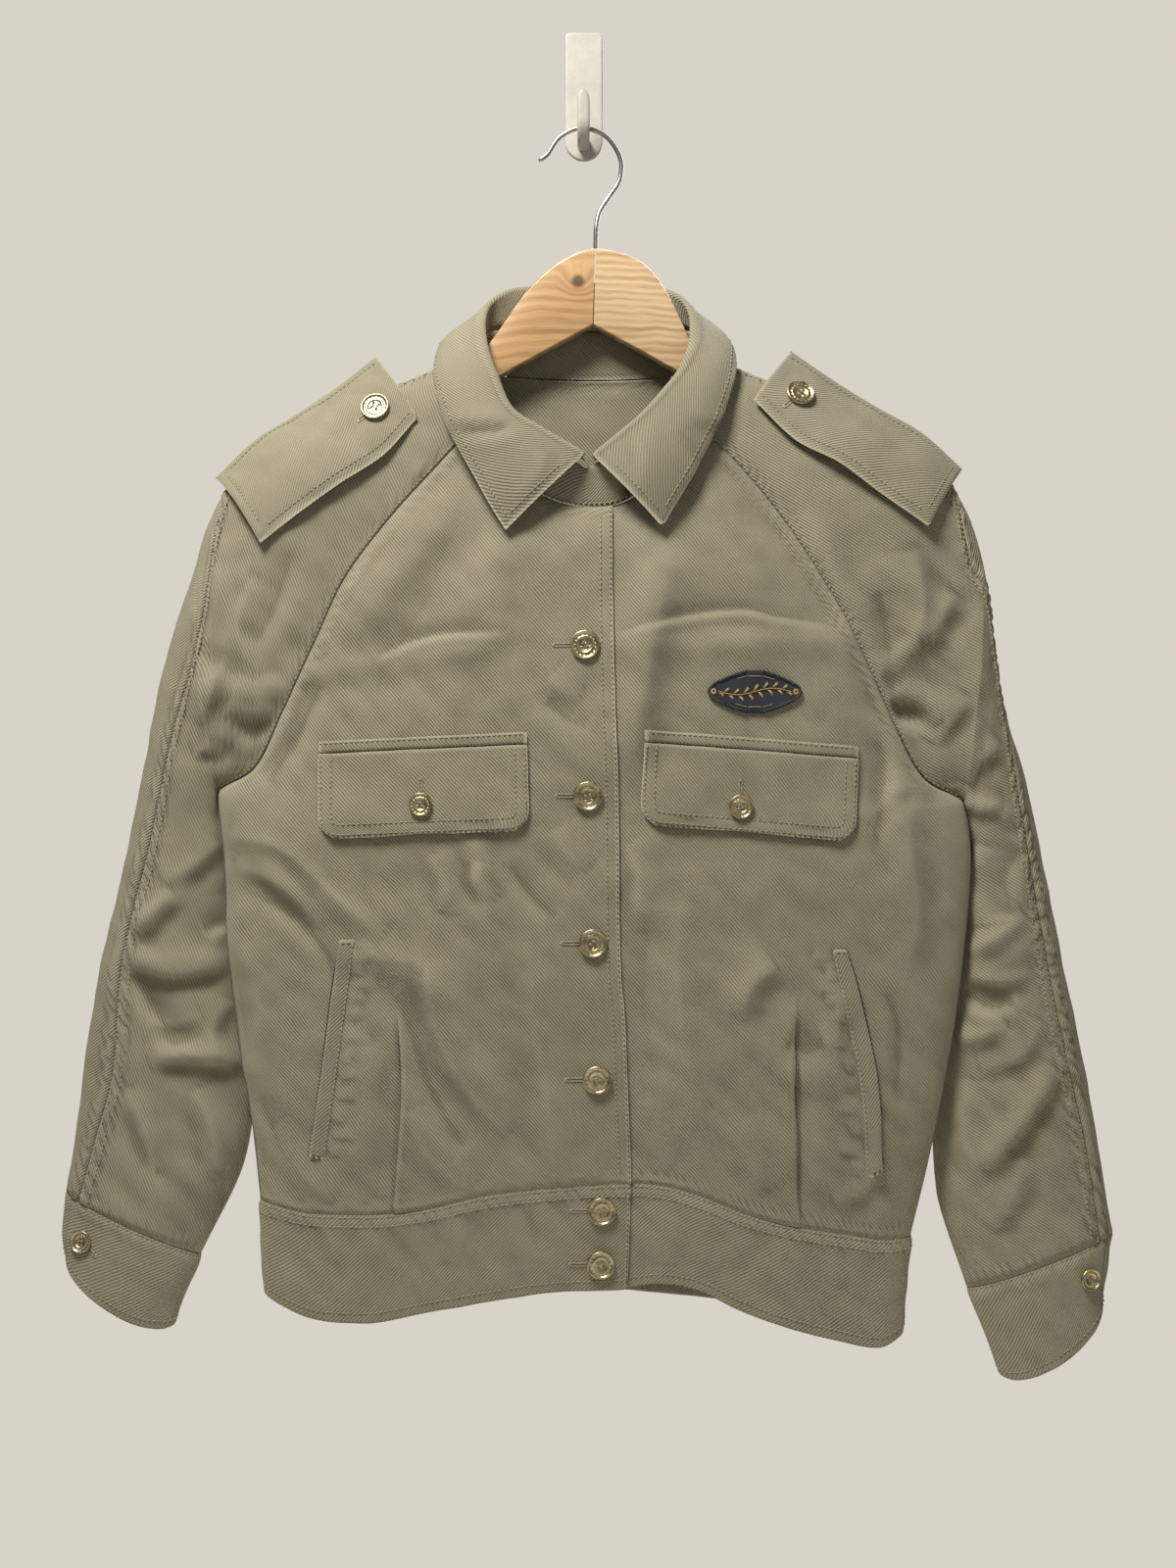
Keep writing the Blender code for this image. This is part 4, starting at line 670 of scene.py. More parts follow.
SLEEVE_CREASES = (
    (1.5, 5, 231, 672, 220, 705, 206, 737), (1.7, 5, 234, 717, 258, 728, 284, 726),
    (-1.5, 4, 236, 725, 250, 745, 267, 756), (1.3, 4, 197, 768, 215, 764, 234, 765),
    (1.6, 5, 166, 897, 195, 885, 222, 860), (1.7, 5, 138, 956, 158, 930, 180, 911),
    (-1.4, 4, 208, 950, 220, 944, 231, 942), (2, 5, 135, 981, 180, 992, 231, 987),
    (-1.6, 5, 135, 993, 160, 1030, 186, 1073), (2, 5, 155, 1085, 189, 1076, 220, 1080, 247, 1091),
    (1.6, 6, 240, 820, 232, 860, 236, 910), (1.4, 6, 200, 1110, 215, 1150, 222, 1200),
    (1.3, 5, 130, 1110, 150, 1150, 160, 1195), (1.6, 6, 262, 590, 245, 640, 262, 690),
    (-1.3, 7, 300, 560, 280, 620, 262, 660), (1.2, 5, 150, 1040, 175, 1045, 205, 1035),
    (1.3, 5, 232, 1020, 215, 1055, 222, 1090),
    (1.7, 6, 946, 658, 958, 630, 975, 608), (1.8, 6, 911, 702, 935, 716, 958, 735),
    (-1.7, 5, 902, 722, 925, 730, 950, 722), (1.7, 5, 949, 758, 968, 733, 984, 711),
    (1.3, 4, 984, 817, 1003, 824, 1022, 823), (1.9, 5, 988, 971, 1018, 955, 1045, 933),
    (1.8, 5, 984, 995, 1015, 1000, 1051, 993), (-1.5, 4, 985, 1012, 1010, 1025, 1035, 1020),
    (1.7, 5, 978, 1060, 1000, 1056, 1026, 1044), (1.8, 6, 1003, 1191, 1040, 1145, 1077, 1089),
    (-1.6, 7, 895, 600, 905, 660, 909, 713), (1.5, 6, 930, 560, 938, 620, 925, 670),
    (1.5, 6, 1000, 860, 990, 905, 1000, 945), (-1.3, 5, 1040, 860, 1025, 900, 1030, 935),
    (1.4, 6, 990, 1100, 985, 1150, 1000, 1200), (1.4, 5, 1060, 1040, 1040, 1075, 1000, 1090),
    (1.5, 6, 955, 800, 965, 850, 960, 905), (1.3, 5, 1020, 760, 1000, 775, 990, 800),
    (1.4, 6, 1045, 1180, 1030, 1220, 1010, 1250),
)
COLLAR_CREASES = (
    (1.6, 4, 452, 426, 488, 428, 528, 421), (-1.2, 4, 470, 440, 500, 440, 525, 432),
    (1.2, 5, 560, 455, 545, 490, 520, 515), (1.3, 5, 700, 420, 730, 425, 760, 415),
    (-1, 5, 690, 440, 715, 470, 730, 500), (1, 5, 640, 430, 655, 470, 650, 505),
)
BAND_CREASES = (
    (0.8, 5, 330, 1240, 345, 1290), (0.8, 6, 470, 1240, 465, 1290), (-0.8, 5, 540, 1230, 548, 1280),
    (0.9, 6, 690, 1235, 682, 1290), (0.8, 6, 790, 1250, 800, 1310), (-0.7, 5, 860, 1260, 866, 1320),
)
# Creases of the hidden back. Columns: height, width, then x, z of each spot in mm
BACK_CREASES = (
    (2, 10, -150, -330, -120, -400, -118, -480), (-1.6, 8, -95, -300, -70, -380, -76, -460),
    (2.1, 10, 158, -335, 128, -405, 124, -490), (-1.5, 9, 100, -310, 80, -380, 88, -450),
    (1.6, 6, -225, -500, -170, -520, -120, -570), (1.7, 6, 232, -505, 180, -530, 120, -560),
    (-1.5, 5, -228, -520, -180, -550, -150, -600), (-1.4, 5, 236, -530, 200, -565, 172, -615),
    (1.8, 8, -60, -540, -50, -630, -72, -720), (1.6, 9, 40, -520, 56, -620, 48, -725),
    (-1.3, 8, -8, -560, -14, -650, 0, -735), (1.5, 5, -190, -690, -150, -722, -96, -735),
    (1.5, 5, 196, -700, 150, -735, 90, -748), (1.4, 5, -30, -700, 10, -724, 64, -728),
    (-1.2, 4, -140, -700, -90, -716, -40, -712), (1.2, 4, -100, -240, -40, -262, 30, -258),
    (-1.2, 3, -60, -395, 0, -402, 70, -392), (1.3, 6, 130, -640, 140, -690, 120, -735),
    (1.3, 6, -160, -620, -156, -670, -176, -715),
)
# Creases of the backs of the sleeves, as for the right one. Columns: height, width, x, z of each spot
REAR_CREASES = (
    (2, 6, -300, -520, -270, -540, -244, -545), (1.7, 5, -306, -560, -270, -566, -238, -590),
    (-1.5, 5, -300, -585, -268, -600, -236, -600), (1.9, 6, -318, -640, -286, -660, -240, -655),
    (1.5, 5, -326, -690, -290, -700, -256, -722), (-1.4, 5, -312, -660, -296, -690, -262, -700),
    (1.6, 6, -250, -380, -262, -420, -246, -460), (1.4, 6, -230, -330, -240, -370, -222, -410),
    (1.3, 5, -282, -460, -266, -478, -248, -490), (1.5, 7, -196, -270, -206, -320, -196, -370),
)


def numbered(table, step=1):
    """The table with a key before each row, which grows by one every so many rows."""
    return tuple((i / step, *row) for i, row in enumerate(table))


def smooth_curve(spots, steps):
    """Places on a smooth curve through the spots."""
    keyed = numbered(spots)
    count = len(spots) - 1
    return [at(keyed, count * k / steps) for k in range(steps + 1)]


def in_pairs(values):
    return [(values[k], values[k + 1]) for k in range(0, len(values), 2)]


def seen_place(px, py, scale):
    return (PHOTO_CENTRE_MM[0] + (px - PHOTO_CENTRE[0]) * scale,
            PHOTO_CENTRE_MM[1] - (py - PHOTO_CENTRE[1]) * scale)


def placed_creases(rows, scale=None, mirrored=False):
    """Height, width and spots in mm of each crease; mirrored ones move to the wearer's left."""
    out = []
    for height, width, *values in rows:
        spots = in_pairs(values)
        if scale:
            spots = [seen_place(px, py, scale) for px, py in spots]
        if mirrored:
            spots = [(-x + 9, z - 14) for x, z in spots]
        out.append((height, width, spots))
    return out


def crease_relief(x, z, creases):
    """Height of the creases at the places x, z. Each is a ridge, steep on its lower side, or a hollow."""
    total = np.zeros_like(x)
    for height, width, spots in creases:
        curve = smooth_curve(spots, 14)
        nearest = np.full_like(x, 1e9)
        along = np.zeros_like(x)
        side = np.ones_like(x)
        for k in range(len(curve) - 1):
            (ax, az), (bx, bz) = curve[k], curve[k + 1]
            dx, dz = bx - ax, bz - az
            t = np.clip(((x - ax) * dx + (z - az) * dz) / max(dx * dx + dz * dz, 1e-6), 0, 1)
            ox, oz = x - ax - t * dx, z - az - t * dz
            far = ox * ox + oz * oz
            closer = far < nearest
            nearest = np.where(closer, far, nearest)
            along = np.where(closer, (k + t) / (len(curve) - 1), along)
            side = np.where(closer, np.sign(dx * oz - dz * ox), side)
        lower = 1.0 if curve[-1][0] < curve[0][0] else -1.0
        off = np.sqrt(nearest) * side * lower / width
        off = np.where(off > 0, off * 1.05, off * 0.50)
        ends = np.clip(4 * along * (1 - along), 0, 1) ** 0.75
        shape = np.exp(-np.abs(off) ** 1.5) - 0.30 * np.exp(-((off - 2.0) / 1.2) ** 2)
        total += height * ends * shape
    return total


# Turns the places so that the noise on them runs in long slanting streaks
STREAKS = np.array(((0.22, 0.0, 0.74), (0.0, 1.0, 0.0), (-0.22, 0.0, 0.74)))


def unit(vectors):
    return vectors / np.maximum(np.linalg.norm(vectors, axis=-1, keepdims=True), 1e-9)


def grid_directions(grid, flip):
    """Directions out of a grid of places, one for each."""
    down = np.gradient(grid, axis=0)
    across = np.gradient(grid, axis=1)
    normal = np.cross(down, across)
    out = unit(normal)
    weak = np.linalg.norm(normal, axis=-1) < 1e-6
    for i, j in np.argwhere(weak):
        window = (slice(max(i - 2, 0), i + 3), slice(max(j - 2, 0), j + 3))
        near = out[window][~weak[window]]
        if len(near):
            out[i, j] = unit(near.sum(axis=0))
    return -out if flip else out


def lengths(grid):
    """Distances down and across a grid from its first row and column."""
    down = np.zeros(grid.shape[:2])
    across = np.zeros(grid.shape[:2])
    down[1:] = np.cumsum(np.linalg.norm(np.diff(grid, axis=0), axis=-1), axis=0)
    across[:, 1:] = np.cumsum(np.linalg.norm(np.diff(grid, axis=1), axis=-1), axis=1)
    return down, across


def border_gap(grid, sides="tblr"):
    """Distance of each place to the nearest of the named edges."""
    down, across = lengths(grid)
    gaps = {"t": down, "b": down[-1:] - down, "l": across, "r": across[:, -1:] - across}
    return np.min([gaps[s] for s in sides], axis=0) if sides else np.full(grid.shape[:2], 99.0)


def soft_step(a, b, values):
    t = np.clip((values - a) / (b - a), 0, 1)
    return t * t * (3 - 2 * t)


def welt_puckers(table, inward):
    """Short creases that run inward from the sewn edge of a pocket welt. Columns as for other creases."""
    keyed = numbered(table, 3)
    rows = []
    for k in range(13):
        _, _, x, z = at(keyed, (k + 0.5) / 13)
        reach = 13 + 5 * math.sin(2.4 * k)
        rise = 3 * math.sin(1.7 * k)
        middle = (x + inward * reach * 0.5, z + rise * 0.5)
        spots = [(x + inward, z), middle, (x + inward * reach, z + rise)]
        rows.append((0.5 + 0.2 * math.sin(3.1 * k), 2.6, spots))
    return rows


def surface_noise(grid, size, seed):
    """Smooth noise over a grid, about one bump for each size in mm."""
    offset = Vector((seed * 7.3, seed * 3.1, seed * 1.7))
    flat = grid.reshape(-1, 3)
    values = [noise.noise(Vector(p) / size + offset) for p in flat]
    return np.array(values).reshape(grid.shape[:2])


def dressed(grid, flip, creases, seed, sewn="tblr", rise=1.0, pucker=0.25, sides_fade="tblr", folds=(),
            gathered="", uneven=1.0):
    """The grid with its creases, a slight unevenness, and puckers and hollows along its seams."""
    out = grid_directions(grid, flip)
    fade = soft_step(0, 9, border_gap(grid, sides_fade))
    lift = crease_relief(grid[..., 0], grid[..., 2], creases or ()) * rise
    lift += uneven * (1.8 * surface_noise(grid, 46, seed) + 0.7 * surface_noise(grid, 17, seed + 1))
    lift += uneven * 0.75 * surface_noise(grid @ STREAKS, 13, seed + 6)
    lift *= fade
    if sewn:
        down, across = lengths(grid)
        gap = border_gap(grid, sewn)
        wobble = surface_noise(grid, 14, seed + 2)
        ripple = np.sin(2 * np.pi * (down + across) / 9.5 + 5 * wobble)
        ripple *= 0.75 + 0.9 * surface_noise(grid, 33, seed + 4)
        lift += pucker * ripple * soft_step(0, 2.5, gap) * (1 - soft_step(5, 12, gap))
        if gathered:
            gap = border_gap(grid, gathered)
            lift += 0.75 * ripple * soft_step(0, 1.5, gap) * (1 - soft_step(6, 11, gap))
            lift += 0.5 * soft_step(0, 2.5, gap) * (1 - soft_step(6, 10, gap))
        lift += 0.45 * soft_step(0, 3.5, gap) * (1 - soft_step(3.5, 11, gap))
        pressed = 0.45 * (1 - soft_step(0, 2.8, gap))
        for x, z in UNDERARMS:
            pressed *= soft_step(8, 20, np.hypot(grid[..., 0] - x, grid[..., 2] - z))
        lift -= pressed
    for sides, distance, depth in folds:
        lift -= depth * np.exp(-((border_gap(grid, sides) - distance) / 1.2) ** 2)
    return grid + out * lift[..., None]


# Meshes
# Outer grid of each panel and its directions outward, by its node
panels = {}


def new_object(name, verts, faces, material):
    """A smooth mesh piece that is fixed to the frame and takes a material slot."""
    mesh = bpy.data.meshes.new(name)
    mesh.from_pydata([tuple(v) for v in verts], [], faces)
    mesh.update()
    mesh.shade_smooth()
    mesh.materials.append(material)
    piece = bpy.data.objects.new(name, mesh)
    bpy.context.scene.collection.objects.link(piece)
    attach(piece, "root")
    return piece


def put_values(piece, name, kind, *layers):
    """An attribute of the piece's places, given layer by layer."""
    values = np.concatenate([np.asarray(layer, np.float32).ravel() for layer in layers])
    attribute = piece.data.attributes.new(name, kind, "POINT")
    attribute.data.foreach_set("vector" if kind == "FLOAT_VECTOR" else "value", values)


def smoothed(grid, rounds, first, last):
    """The grid with the rows from first to last evened out, and its first and last columns kept."""
    grid = grid.copy()
    for _ in range(rounds):
        middle = grid[first:last, 1:-1]
        around = grid[first - 1:last - 1, 1:-1] + grid[first + 1:last + 1, 1:-1]
        around = around + grid[first:last, :-2] + grid[first:last, 2:]
        grid[first:last, 1:-1] = 0.5 * middle + 0.125 * around
    return grid


def grain_of(grid, flip, tilt, anchor, behind):
    """Where each place lies in the uncut cloth.

    A tilt is the lean of the grain line in degrees, and without one the cloth is a strip cut lengthwise.
    """
    down, across = lengths(grid)
    if tilt is None:
        sideways = np.repeat(across.mean(axis=0)[None], grid.shape[0], axis=0) * (-1 if flip else 1)
        along = np.repeat(down.mean(axis=1)[:, None], grid.shape[1], axis=1)
    else:
        lean = math.radians(tilt)
        level = np.array((math.cos(lean), 0.0, math.sin(lean)))
        step = np.diff(grid, axis=1)
        sideways = np.zeros_like(across)
        sideways[:, 1:] = np.cumsum(np.hypot(step @ level, step[..., 1]) * np.sign(step @ level), axis=1)
        column = round(anchor * (grid.shape[1] - 1))
        sideways += (grid[:, column] @ level - sideways[:, column])[:, None]
        along = grid @ np.array((math.sin(lean), 0.0, -math.cos(lean)))
        sideways = -sideways if behind else sideways
    return np.stack([sideways, along, np.zeros_like(down)], axis=-1).reshape(-1, 3) * MM


def shell_faces(rows, cols, flip):
    """The faces of two layers of places with the rim between them, and those of the outer layer alone."""
    half = rows * cols
    index = np.arange(half).reshape(rows, cols)
    a, b, c, d = index[:-1, :-1], index[:-1, 1:], index[1:, 1:], index[1:, :-1]
    front = np.stack([a, d, c, b], axis=-1).reshape(-1, 4)
    back = np.stack([a, b, c, d], axis=-1).reshape(-1, 4) + half
    loop = np.concatenate([index[0, :], index[1:, -1], index[-1, -2::-1], index[-2:0:-1, 0]])
    following = np.roll(loop, -1)
    rim = np.stack([loop, following, following + half, loop + half], axis=-1)
    turn = -1 if flip else 1
    return np.concatenate([front, back, rim])[:, ::turn].tolist(), front[:, ::turn].tolist()


def crest_of(grid, out):
    """How far each place stands out from its neighbours, from 0 in a hollow to 1 on a ridge."""
    bend = np.zeros(grid.shape[:2])
    around = (grid[2:, 1:-1] + grid[:-2, 1:-1] + grid[1:-1, 2:] + grid[1:-1, :-2]) / 4 - grid[1:-1, 1:-1]
    bend[1:-1, 1:-1] = -np.sum(around * out[1:-1, 1:-1], axis=-1)
    return np.clip(0.5 + 1.6 * bend, 0, 1)


def shell(name, node, grid, thick, material, flip=False, centred=False, round_sides="",
          tilt=None, anchor=0.5, behind=False):
    """A thin closed shell on a grid of places in mm, which stands for a node of the frame."""
    out = grid_directions(grid, flip)
    near_edge = 1 - np.clip(border_gap(grid, round_sides) / (0.5 * thick), 0, 1)
    rounding = 0.5 * thick * (1 - np.sqrt(np.clip(1 - near_edge ** 2, 0, 1)))
    lift = 0.5 * thick if centred else 0.0
    outer = grid + out * (lift - rounding)[..., None]
    inner = grid + out * (lift - thick + rounding)[..., None]
    faces, skin = shell_faces(*grid.shape[:2], flip)
    verts = np.concatenate([outer.reshape(-1, 3), inner.reshape(-1, 3)]) * MM
    piece = new_object(name, verts.tolist(), faces, material)
    grain = grain_of(grid, flip, tilt, anchor, behind)
    put_values(piece, "grain", "FLOAT_VECTOR", grain, grain * (-1, 1, 1) if behind else grain)
    # The twill reads crest to paint shade into the hollows and to lighten the ridges, partly as fading and
    # partly as painted highlight
    crest = crest_of(grid, out)
    put_values(piece, "crest", "FLOAT", crest, crest)
    edge = np.clip(border_gap(grid, round_sides or "tblr"), 0, 40) * MM
    put_values(piece, "edge", "FLOAT", edge, edge)
    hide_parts(node)
    down, across = lengths(grid)
    skins[node] = BVHTree.FromPolygons([Vector(p) for p in outer.reshape(-1, 3)], skin)
    panels[node] = (outer, out)


def spread(count, tight_start=(), tight_end=()):
    """Even shares from 0 to 1, with a few more near the ends."""
    even = [k / count for k in range(count + 1)]
    low = [s for s in tight_start if s < even[1] * 0.7]
    high = [1 - s for s in tight_end if s < even[1] * 0.7]
    return sorted(set(even + low + high))


def lie_on(node, x, z, lift, reach=0.0):
    """The place on a panel that is seen at x, z from the front, moved out by the lift."""
    skin = skins[node]
    spots = []
    for dx, dz in ((0, 0), (reach, 0), (-reach, 0), (0, reach), (0, -reach)) if reach else ((0, 0),):
        hit = skin.ray_cast(Vector((x + dx, -400, z + dz)), Vector((0, 1, 0)))
        if hit[0] is None:
            hit = skin.find_nearest(Vector((x + dx, -50, z + dz)))
        spots.append((hit[0], -hit[1] if hit[1].y > 0 else hit[1]))
    out = Vector((0, 0, 0))
    for _, n in spots:
        out += n
    out.normalize()
    place = Vector((spots[0][0].x, sum(p.y for p, _ in spots) / len(spots), spots[0][0].z))
    return place + out * lift, out


# Stitches
def inset_line(node, edge, distance, start=0.0, stop=0.0, span=(0.0, 1.0)):
    """Places and directions at a distance inside one edge of a panel, over a span of its rows."""
    grid, out = panels[node]
    if edge in "bt":
        grid, out = grid.transpose(1, 0, 2), out.transpose(1, 0, 2)
    if edge in "rb":
        grid, out = grid[:, ::-1], out[:, ::-1]
    first, last = (round(share * (len(grid) - 1)) for share in span)
    grid, out = grid[first:last + 1], out[first:last + 1]
    line = []
    for places, normals in zip(grid, out):
        gone = 0.0
        for k in range(len(places) - 1):
            step = float(np.linalg.norm(places[k + 1] - places[k]))
            if gone + step >= distance:
                t = (distance - gone) / max(step, 1e-9)
                line.append((Vector(places[k] * (1 - t) + places[k + 1] * t), Vector(normals[k])))
                break
            gone += step
    total = sum((line[k + 1][0] - line[k][0]).length for k in range(len(line) - 1))
    gone, kept = 0.0, []
    for k, spot in enumerate(line):
        if k:
            gone += (spot[0] - line[k - 1][0]).length
        if start <= gone <= total - stop:
            kept.append(spot)
    return kept


def inset_lines(node, *edges, **limits):
    return [inset_line(node, edge, distance, **limits) for edge, distance in edges]


def seen_line(node, spots):
    """Places and directions on a panel below a line that is seen from the front."""
    line = []
    for (ax, az), (bx, bz) in zip(spots, spots[1:]):
        steps = max(int(math.hypot(bx - ax, bz - az) / 2.5), 1)
        line += [lie_on(node, mix(ax, bx, k / steps), mix(az, bz, k / steps), 0.0) for k in range(steps)]
    line.append(lie_on(node, *spots[-1], 0.0))
    return line


STITCH_RINGS = ((0.0, 0.15), (0.22, 0.9), (0.5, 1.0), (0.78, 0.9), (1.0, 0.15))
STITCH_SIDES = 5


def add_bar(verts, faces, start, end, out, radius, sink=0.15):
    """One stitch, whose ends dip into the cloth."""
    along = (end - start).normalized()
    side = along.cross(out).normalized()
    first = len(verts)
    for share, wide in STITCH_RINGS:
        centre = start.lerp(end, share) + out * radius * (1.2 * hump(share) - sink)
        for k in range(STITCH_SIDES):
            a = 2 * math.pi * k / STITCH_SIDES
            verts.append((centre + (side * math.cos(a) + out * math.sin(a)) * radius * wide) * MM)
    rings = len(STITCH_RINGS)
    for i in range(rings - 1):
        for k in range(STITCH_SIDES):
            m = (k + 1) % STITCH_SIDES
            base = first + i * STITCH_SIDES
            faces.append((base + k, base + m, base + STITCH_SIDES + m, base + STITCH_SIDES + k))
    faces.append(tuple(first + k for k in reversed(range(STITCH_SIDES))))
    faces.append(tuple(first + (rings - 1) * STITCH_SIDES + k for k in range(STITCH_SIDES)))


def walk(line, pitch):
    """Places and directions at even distances along a line."""
    out = []
    want = 0.0
    gone = 0.0
    for (a, na), (b, nb) in zip(line, line[1:]):
        step = (b - a).length
        while step > 1e-6 and want <= gone + step:
            t = (want - gone) / step
            out.append((a.lerp(b, t), na.lerp(nb, t).normalized()))
            want += pitch
        gone += step
    return out


def sew(name, lines, material):
    """Stitches along the lines, as one joined mesh."""
    trim = bpy.context.scene.jacket_trim
    pitch = trim.stitch_length * 1280
    radius = trim.thread_width * 500
    verts, faces = [], []
    for line in lines:
        spots = walk(line, pitch)
        for k in range(len(spots) - 1):
            (a, na), (b, _) = spots[k], spots[k + 1]
            add_bar(verts, faces, a, a.lerp(b, 0.80), na, radius)
    if not verts:
        raise ValueError("no stitches for " + name)
    new_object(name, verts, faces, material)


def buttonhole(name, node, x, z, degrees, length, material):
    """A worked slot: short bars along both sides of a dark gap, with a bar across each end."""
    verts, faces = [], []
    turn = math.radians(degrees)
    ex, ez = math.cos(turn), math.sin(turn)
    step = 0.62
    for side in (-1, 1):
        for k in range(int(length / step)):
            s = k * step
            near = lie_on(node, x + ex * s - ez * side * 0.35, z + ez * s + ex * side * 0.35, 0.0)
            far = lie_on(node, x + ex * s - ez * side * 1.5, z + ez * s + ex * side * 1.5, 0.0)
            add_bar(verts, faces, near[0], far[0], near[1], 0.33, sink=0.1)
    for s in (-0.5, length):
        for k in range(3):
            t = s + 0.5 * k - 0.5
            a = lie_on(node, x + ex * t - ez * 1.6, z + ez * t + ex * 1.6, 0.0)
            b = lie_on(node, x + ex * t + ez * 1.6, z + ez * t - ex * 1.6, 0.0)
            add_bar(verts, faces, a[0], b[0], a[1], 0.34, sink=0.0)
    new_object(name, verts, faces, material)


def painted_shadow_strip(name, node, spots, width, material):
    """A thin dark strip of painted shadow that tapers at its ends, laid in the gap beside a fold or a
    pocket's edge.
    """
    verts, faces = [], []
    line = seen_line(node, spots)
    for k, (p, n) in enumerate(line):
        along = (line[min(k + 1, len(line) - 1)][0] - line[max(k - 1, 0)][0]).normalized()
        taper = min(1.0, 5 * k / len(line) + 0.1, 1.1 - k / len(line))
        side = along.cross(n).normalized() * (width / 2) * taper
        verts += [(p + side + n * 0.12) * MM, (p - side + n * 0.12) * MM]
        if k:
            faces.append((2 * k - 2, 2 * k - 1, 2 * k + 1, 2 * k))
    new_object(name, verts, faces, material)


# Materials
def put(tree, kind, sockets=(), **settings):
    """A new node with its settings and its sockets."""
    node = tree.nodes.new(kind)
    for key, value in settings.items():
        setattr(node, key, value)
    return fill(tree, node, dict(sockets))


def fill(tree, node, sockets):
    """The node with its sockets given a value or linked."""
    for key, value in sockets.items():
        if isinstance(value, bpy.types.NodeSocket):
            tree.links.new(value, node.inputs[key])
        else:
            node.inputs[key].default_value = value
    return node


def calc(tree, operation, *values, clamp=False):
    return put(tree, "ShaderNodeMath", enumerate(values), operation=operation, use_clamp=clamp).outputs[0]


def plus(tree, a, b):
    return calc(tree, "ADD", a, b)


def minus(tree, a, b):
    return calc(tree, "SUBTRACT", a, b)


def times(tree, a, b):
    return calc(tree, "MULTIPLY", a, b)


def weighted(tree, *parts, base=0.0, clamp=False):
    """The base and each value times its weight, added up."""
    for value, weight in parts:
        base = calc(tree, "MULTIPLY_ADD", value, weight, base, clamp=clamp)
    return base


def wave(tree, angle):
    """A sine that runs from 0 to 1."""
    return weighted(tree, (calc(tree, "SINE", angle), 0.5), base=0.5)


def ramp_between(tree, value, low, high):
    return put(tree, "ShaderNodeMapRange", {"Value": value, "From Min": low, "From Max": high},
               interpolation_type="SMOOTHSTEP").outputs[0]


def falling(tree, value, low, high):
    """One below the low value, down to nothing at the high one."""
    return minus(tree, 1.0, ramp_between(tree, value, low, high))


def blend_colours(tree, share, a, b):
    first, second = (c if isinstance(c, bpy.types.NodeSocket) else (*c[:3], 1.0) for c in (a, b))
    return put(tree, "ShaderNodeMix", {0: share, 6: first, 7: second}, data_type="RGBA").outputs[2]


def shaded(colour, share):
    """The colour, darker by a share."""
    return tuple(c * share for c in colour)


def noise_value(tree, vector, scale, detail=3.0):
    return put(tree, "ShaderNodeTexNoise",
               {"Vector": vector, "Scale": scale, "Detail": detail, "Roughness": 0.55}).outputs[0]


def bumped(tree, height, strength, distance):
    return put(tree, "ShaderNodeBump",
               {"Height": height, "Strength": strength, "Distance": distance}).outputs[0]


def read(tree, name, kind="Fac"):
    return put(tree, "ShaderNodeAttribute", attribute_name=name).outputs[kind]


def new_group(name, vector, values, outputs):
    """A shader group with its named sockets; returns the tree, its inputs and its output node."""
    tree = bpy.data.node_groups.new(name, "ShaderNodeTree")
    tree.interface.new_socket(vector, in_out="INPUT", socket_type="NodeSocketVector")
    for title in values:
        tree.interface.new_socket(title, in_out="INPUT", socket_type="NodeSocketFloat")
    for title in outputs:
        tree.interface.new_socket(title, in_out="OUTPUT", socket_type="NodeSocketFloat")
    return tree, tree.nodes.new("NodeGroupInput").outputs, tree.nodes.new("NodeGroupOutput")


def twill_group():
    """Diagonal ribs of a twill weave with their yarns; grain in metres."""
    tree, given, leave = new_group("twill_weave", "Grain", ("Angle", "Pitch"), ("Height", "Rib", "Fleck"))
    grain, pitch = given["Grain"], given["Pitch"]
    turned = put(tree, "ShaderNodeVectorRotate", {"Vector": grain, "Angle": given["Angle"]},
                 rotation_type="Z_AXIS").outputs[0]
    parts = put(tree, "ShaderNodeSeparateXYZ", {0: turned}).outputs
    sway = times(tree, minus(tree, noise_value(tree, grain, 70.0), 0.5), 0.0016)
    phase = calc(tree, "DIVIDE", times(tree, plus(tree, parts[0], sway), 2 * math.pi), pitch)
    along = calc(tree, "DIVIDE", times(tree, parts[1], 3.4 * math.pi), pitch)
    rib, yarn = wave(tree, phase), wave(tree, plus(tree, along, phase))
    fleck = noise_value(tree, grain, 850.0, 2.0)
    height = weighted(tree, (rib, 0.78), (yarn, 0.22), (fleck, 0.25))
    fill(tree, leave, {"Height": height, "Rib": rib, "Fleck": fleck})
    return tree


def wear_group():
    """Fading of cloth or metal: broad patches, rubbed edges, and raised crests made lighter, which is partly
    fading and partly painted highlight on the folds; grain in metres.
    """
    tree, given, leave = new_group("wear", "Grain", ("Crest", "Edge", "Patches"), ("Fade", "Rub"))
    broad = noise_value(tree, given["Grain"], given["Patches"])
    fine = noise_value(tree, given["Grain"], times(tree, given["Patches"], 5.0), 4.0)
    # Ridges lighter and hollows darker by the crest: partly fading of the crests, partly painted highlight
    # and shade on the folds
    raised = minus(tree, given["Crest"], 0.5)
    fade = weighted(tree, (broad, 0.55), (fine, 0.25), (raised, 0.75), clamp=True)
    rub = times(tree, falling(tree, given["Edge"], 0.0003, 0.0022), ramp_between(tree, fine, 0.30, 0.62))
    fill(tree, leave, {"Fade": fade, "Rub": rub})
    return tree


def group_node(tree, name, make, sockets):
    group = bpy.data.node_groups.get(name) or make()
    return put(tree, "ShaderNodeGroup", sockets, node_tree=group).outputs


def new_material(name):
    material = bpy.data.materials.new(name)
    material.use_nodes = True
    tree = material.node_tree
    return material, tree, tree.nodes["Principled BSDF"]


def made_once(make):
    """Lets a material's function give back the material that it has made under the same name."""
    def found_or_made(name, *values, **named):
        return bpy.data.materials.get(name) or make(name, *values, **named)

    return found_or_made


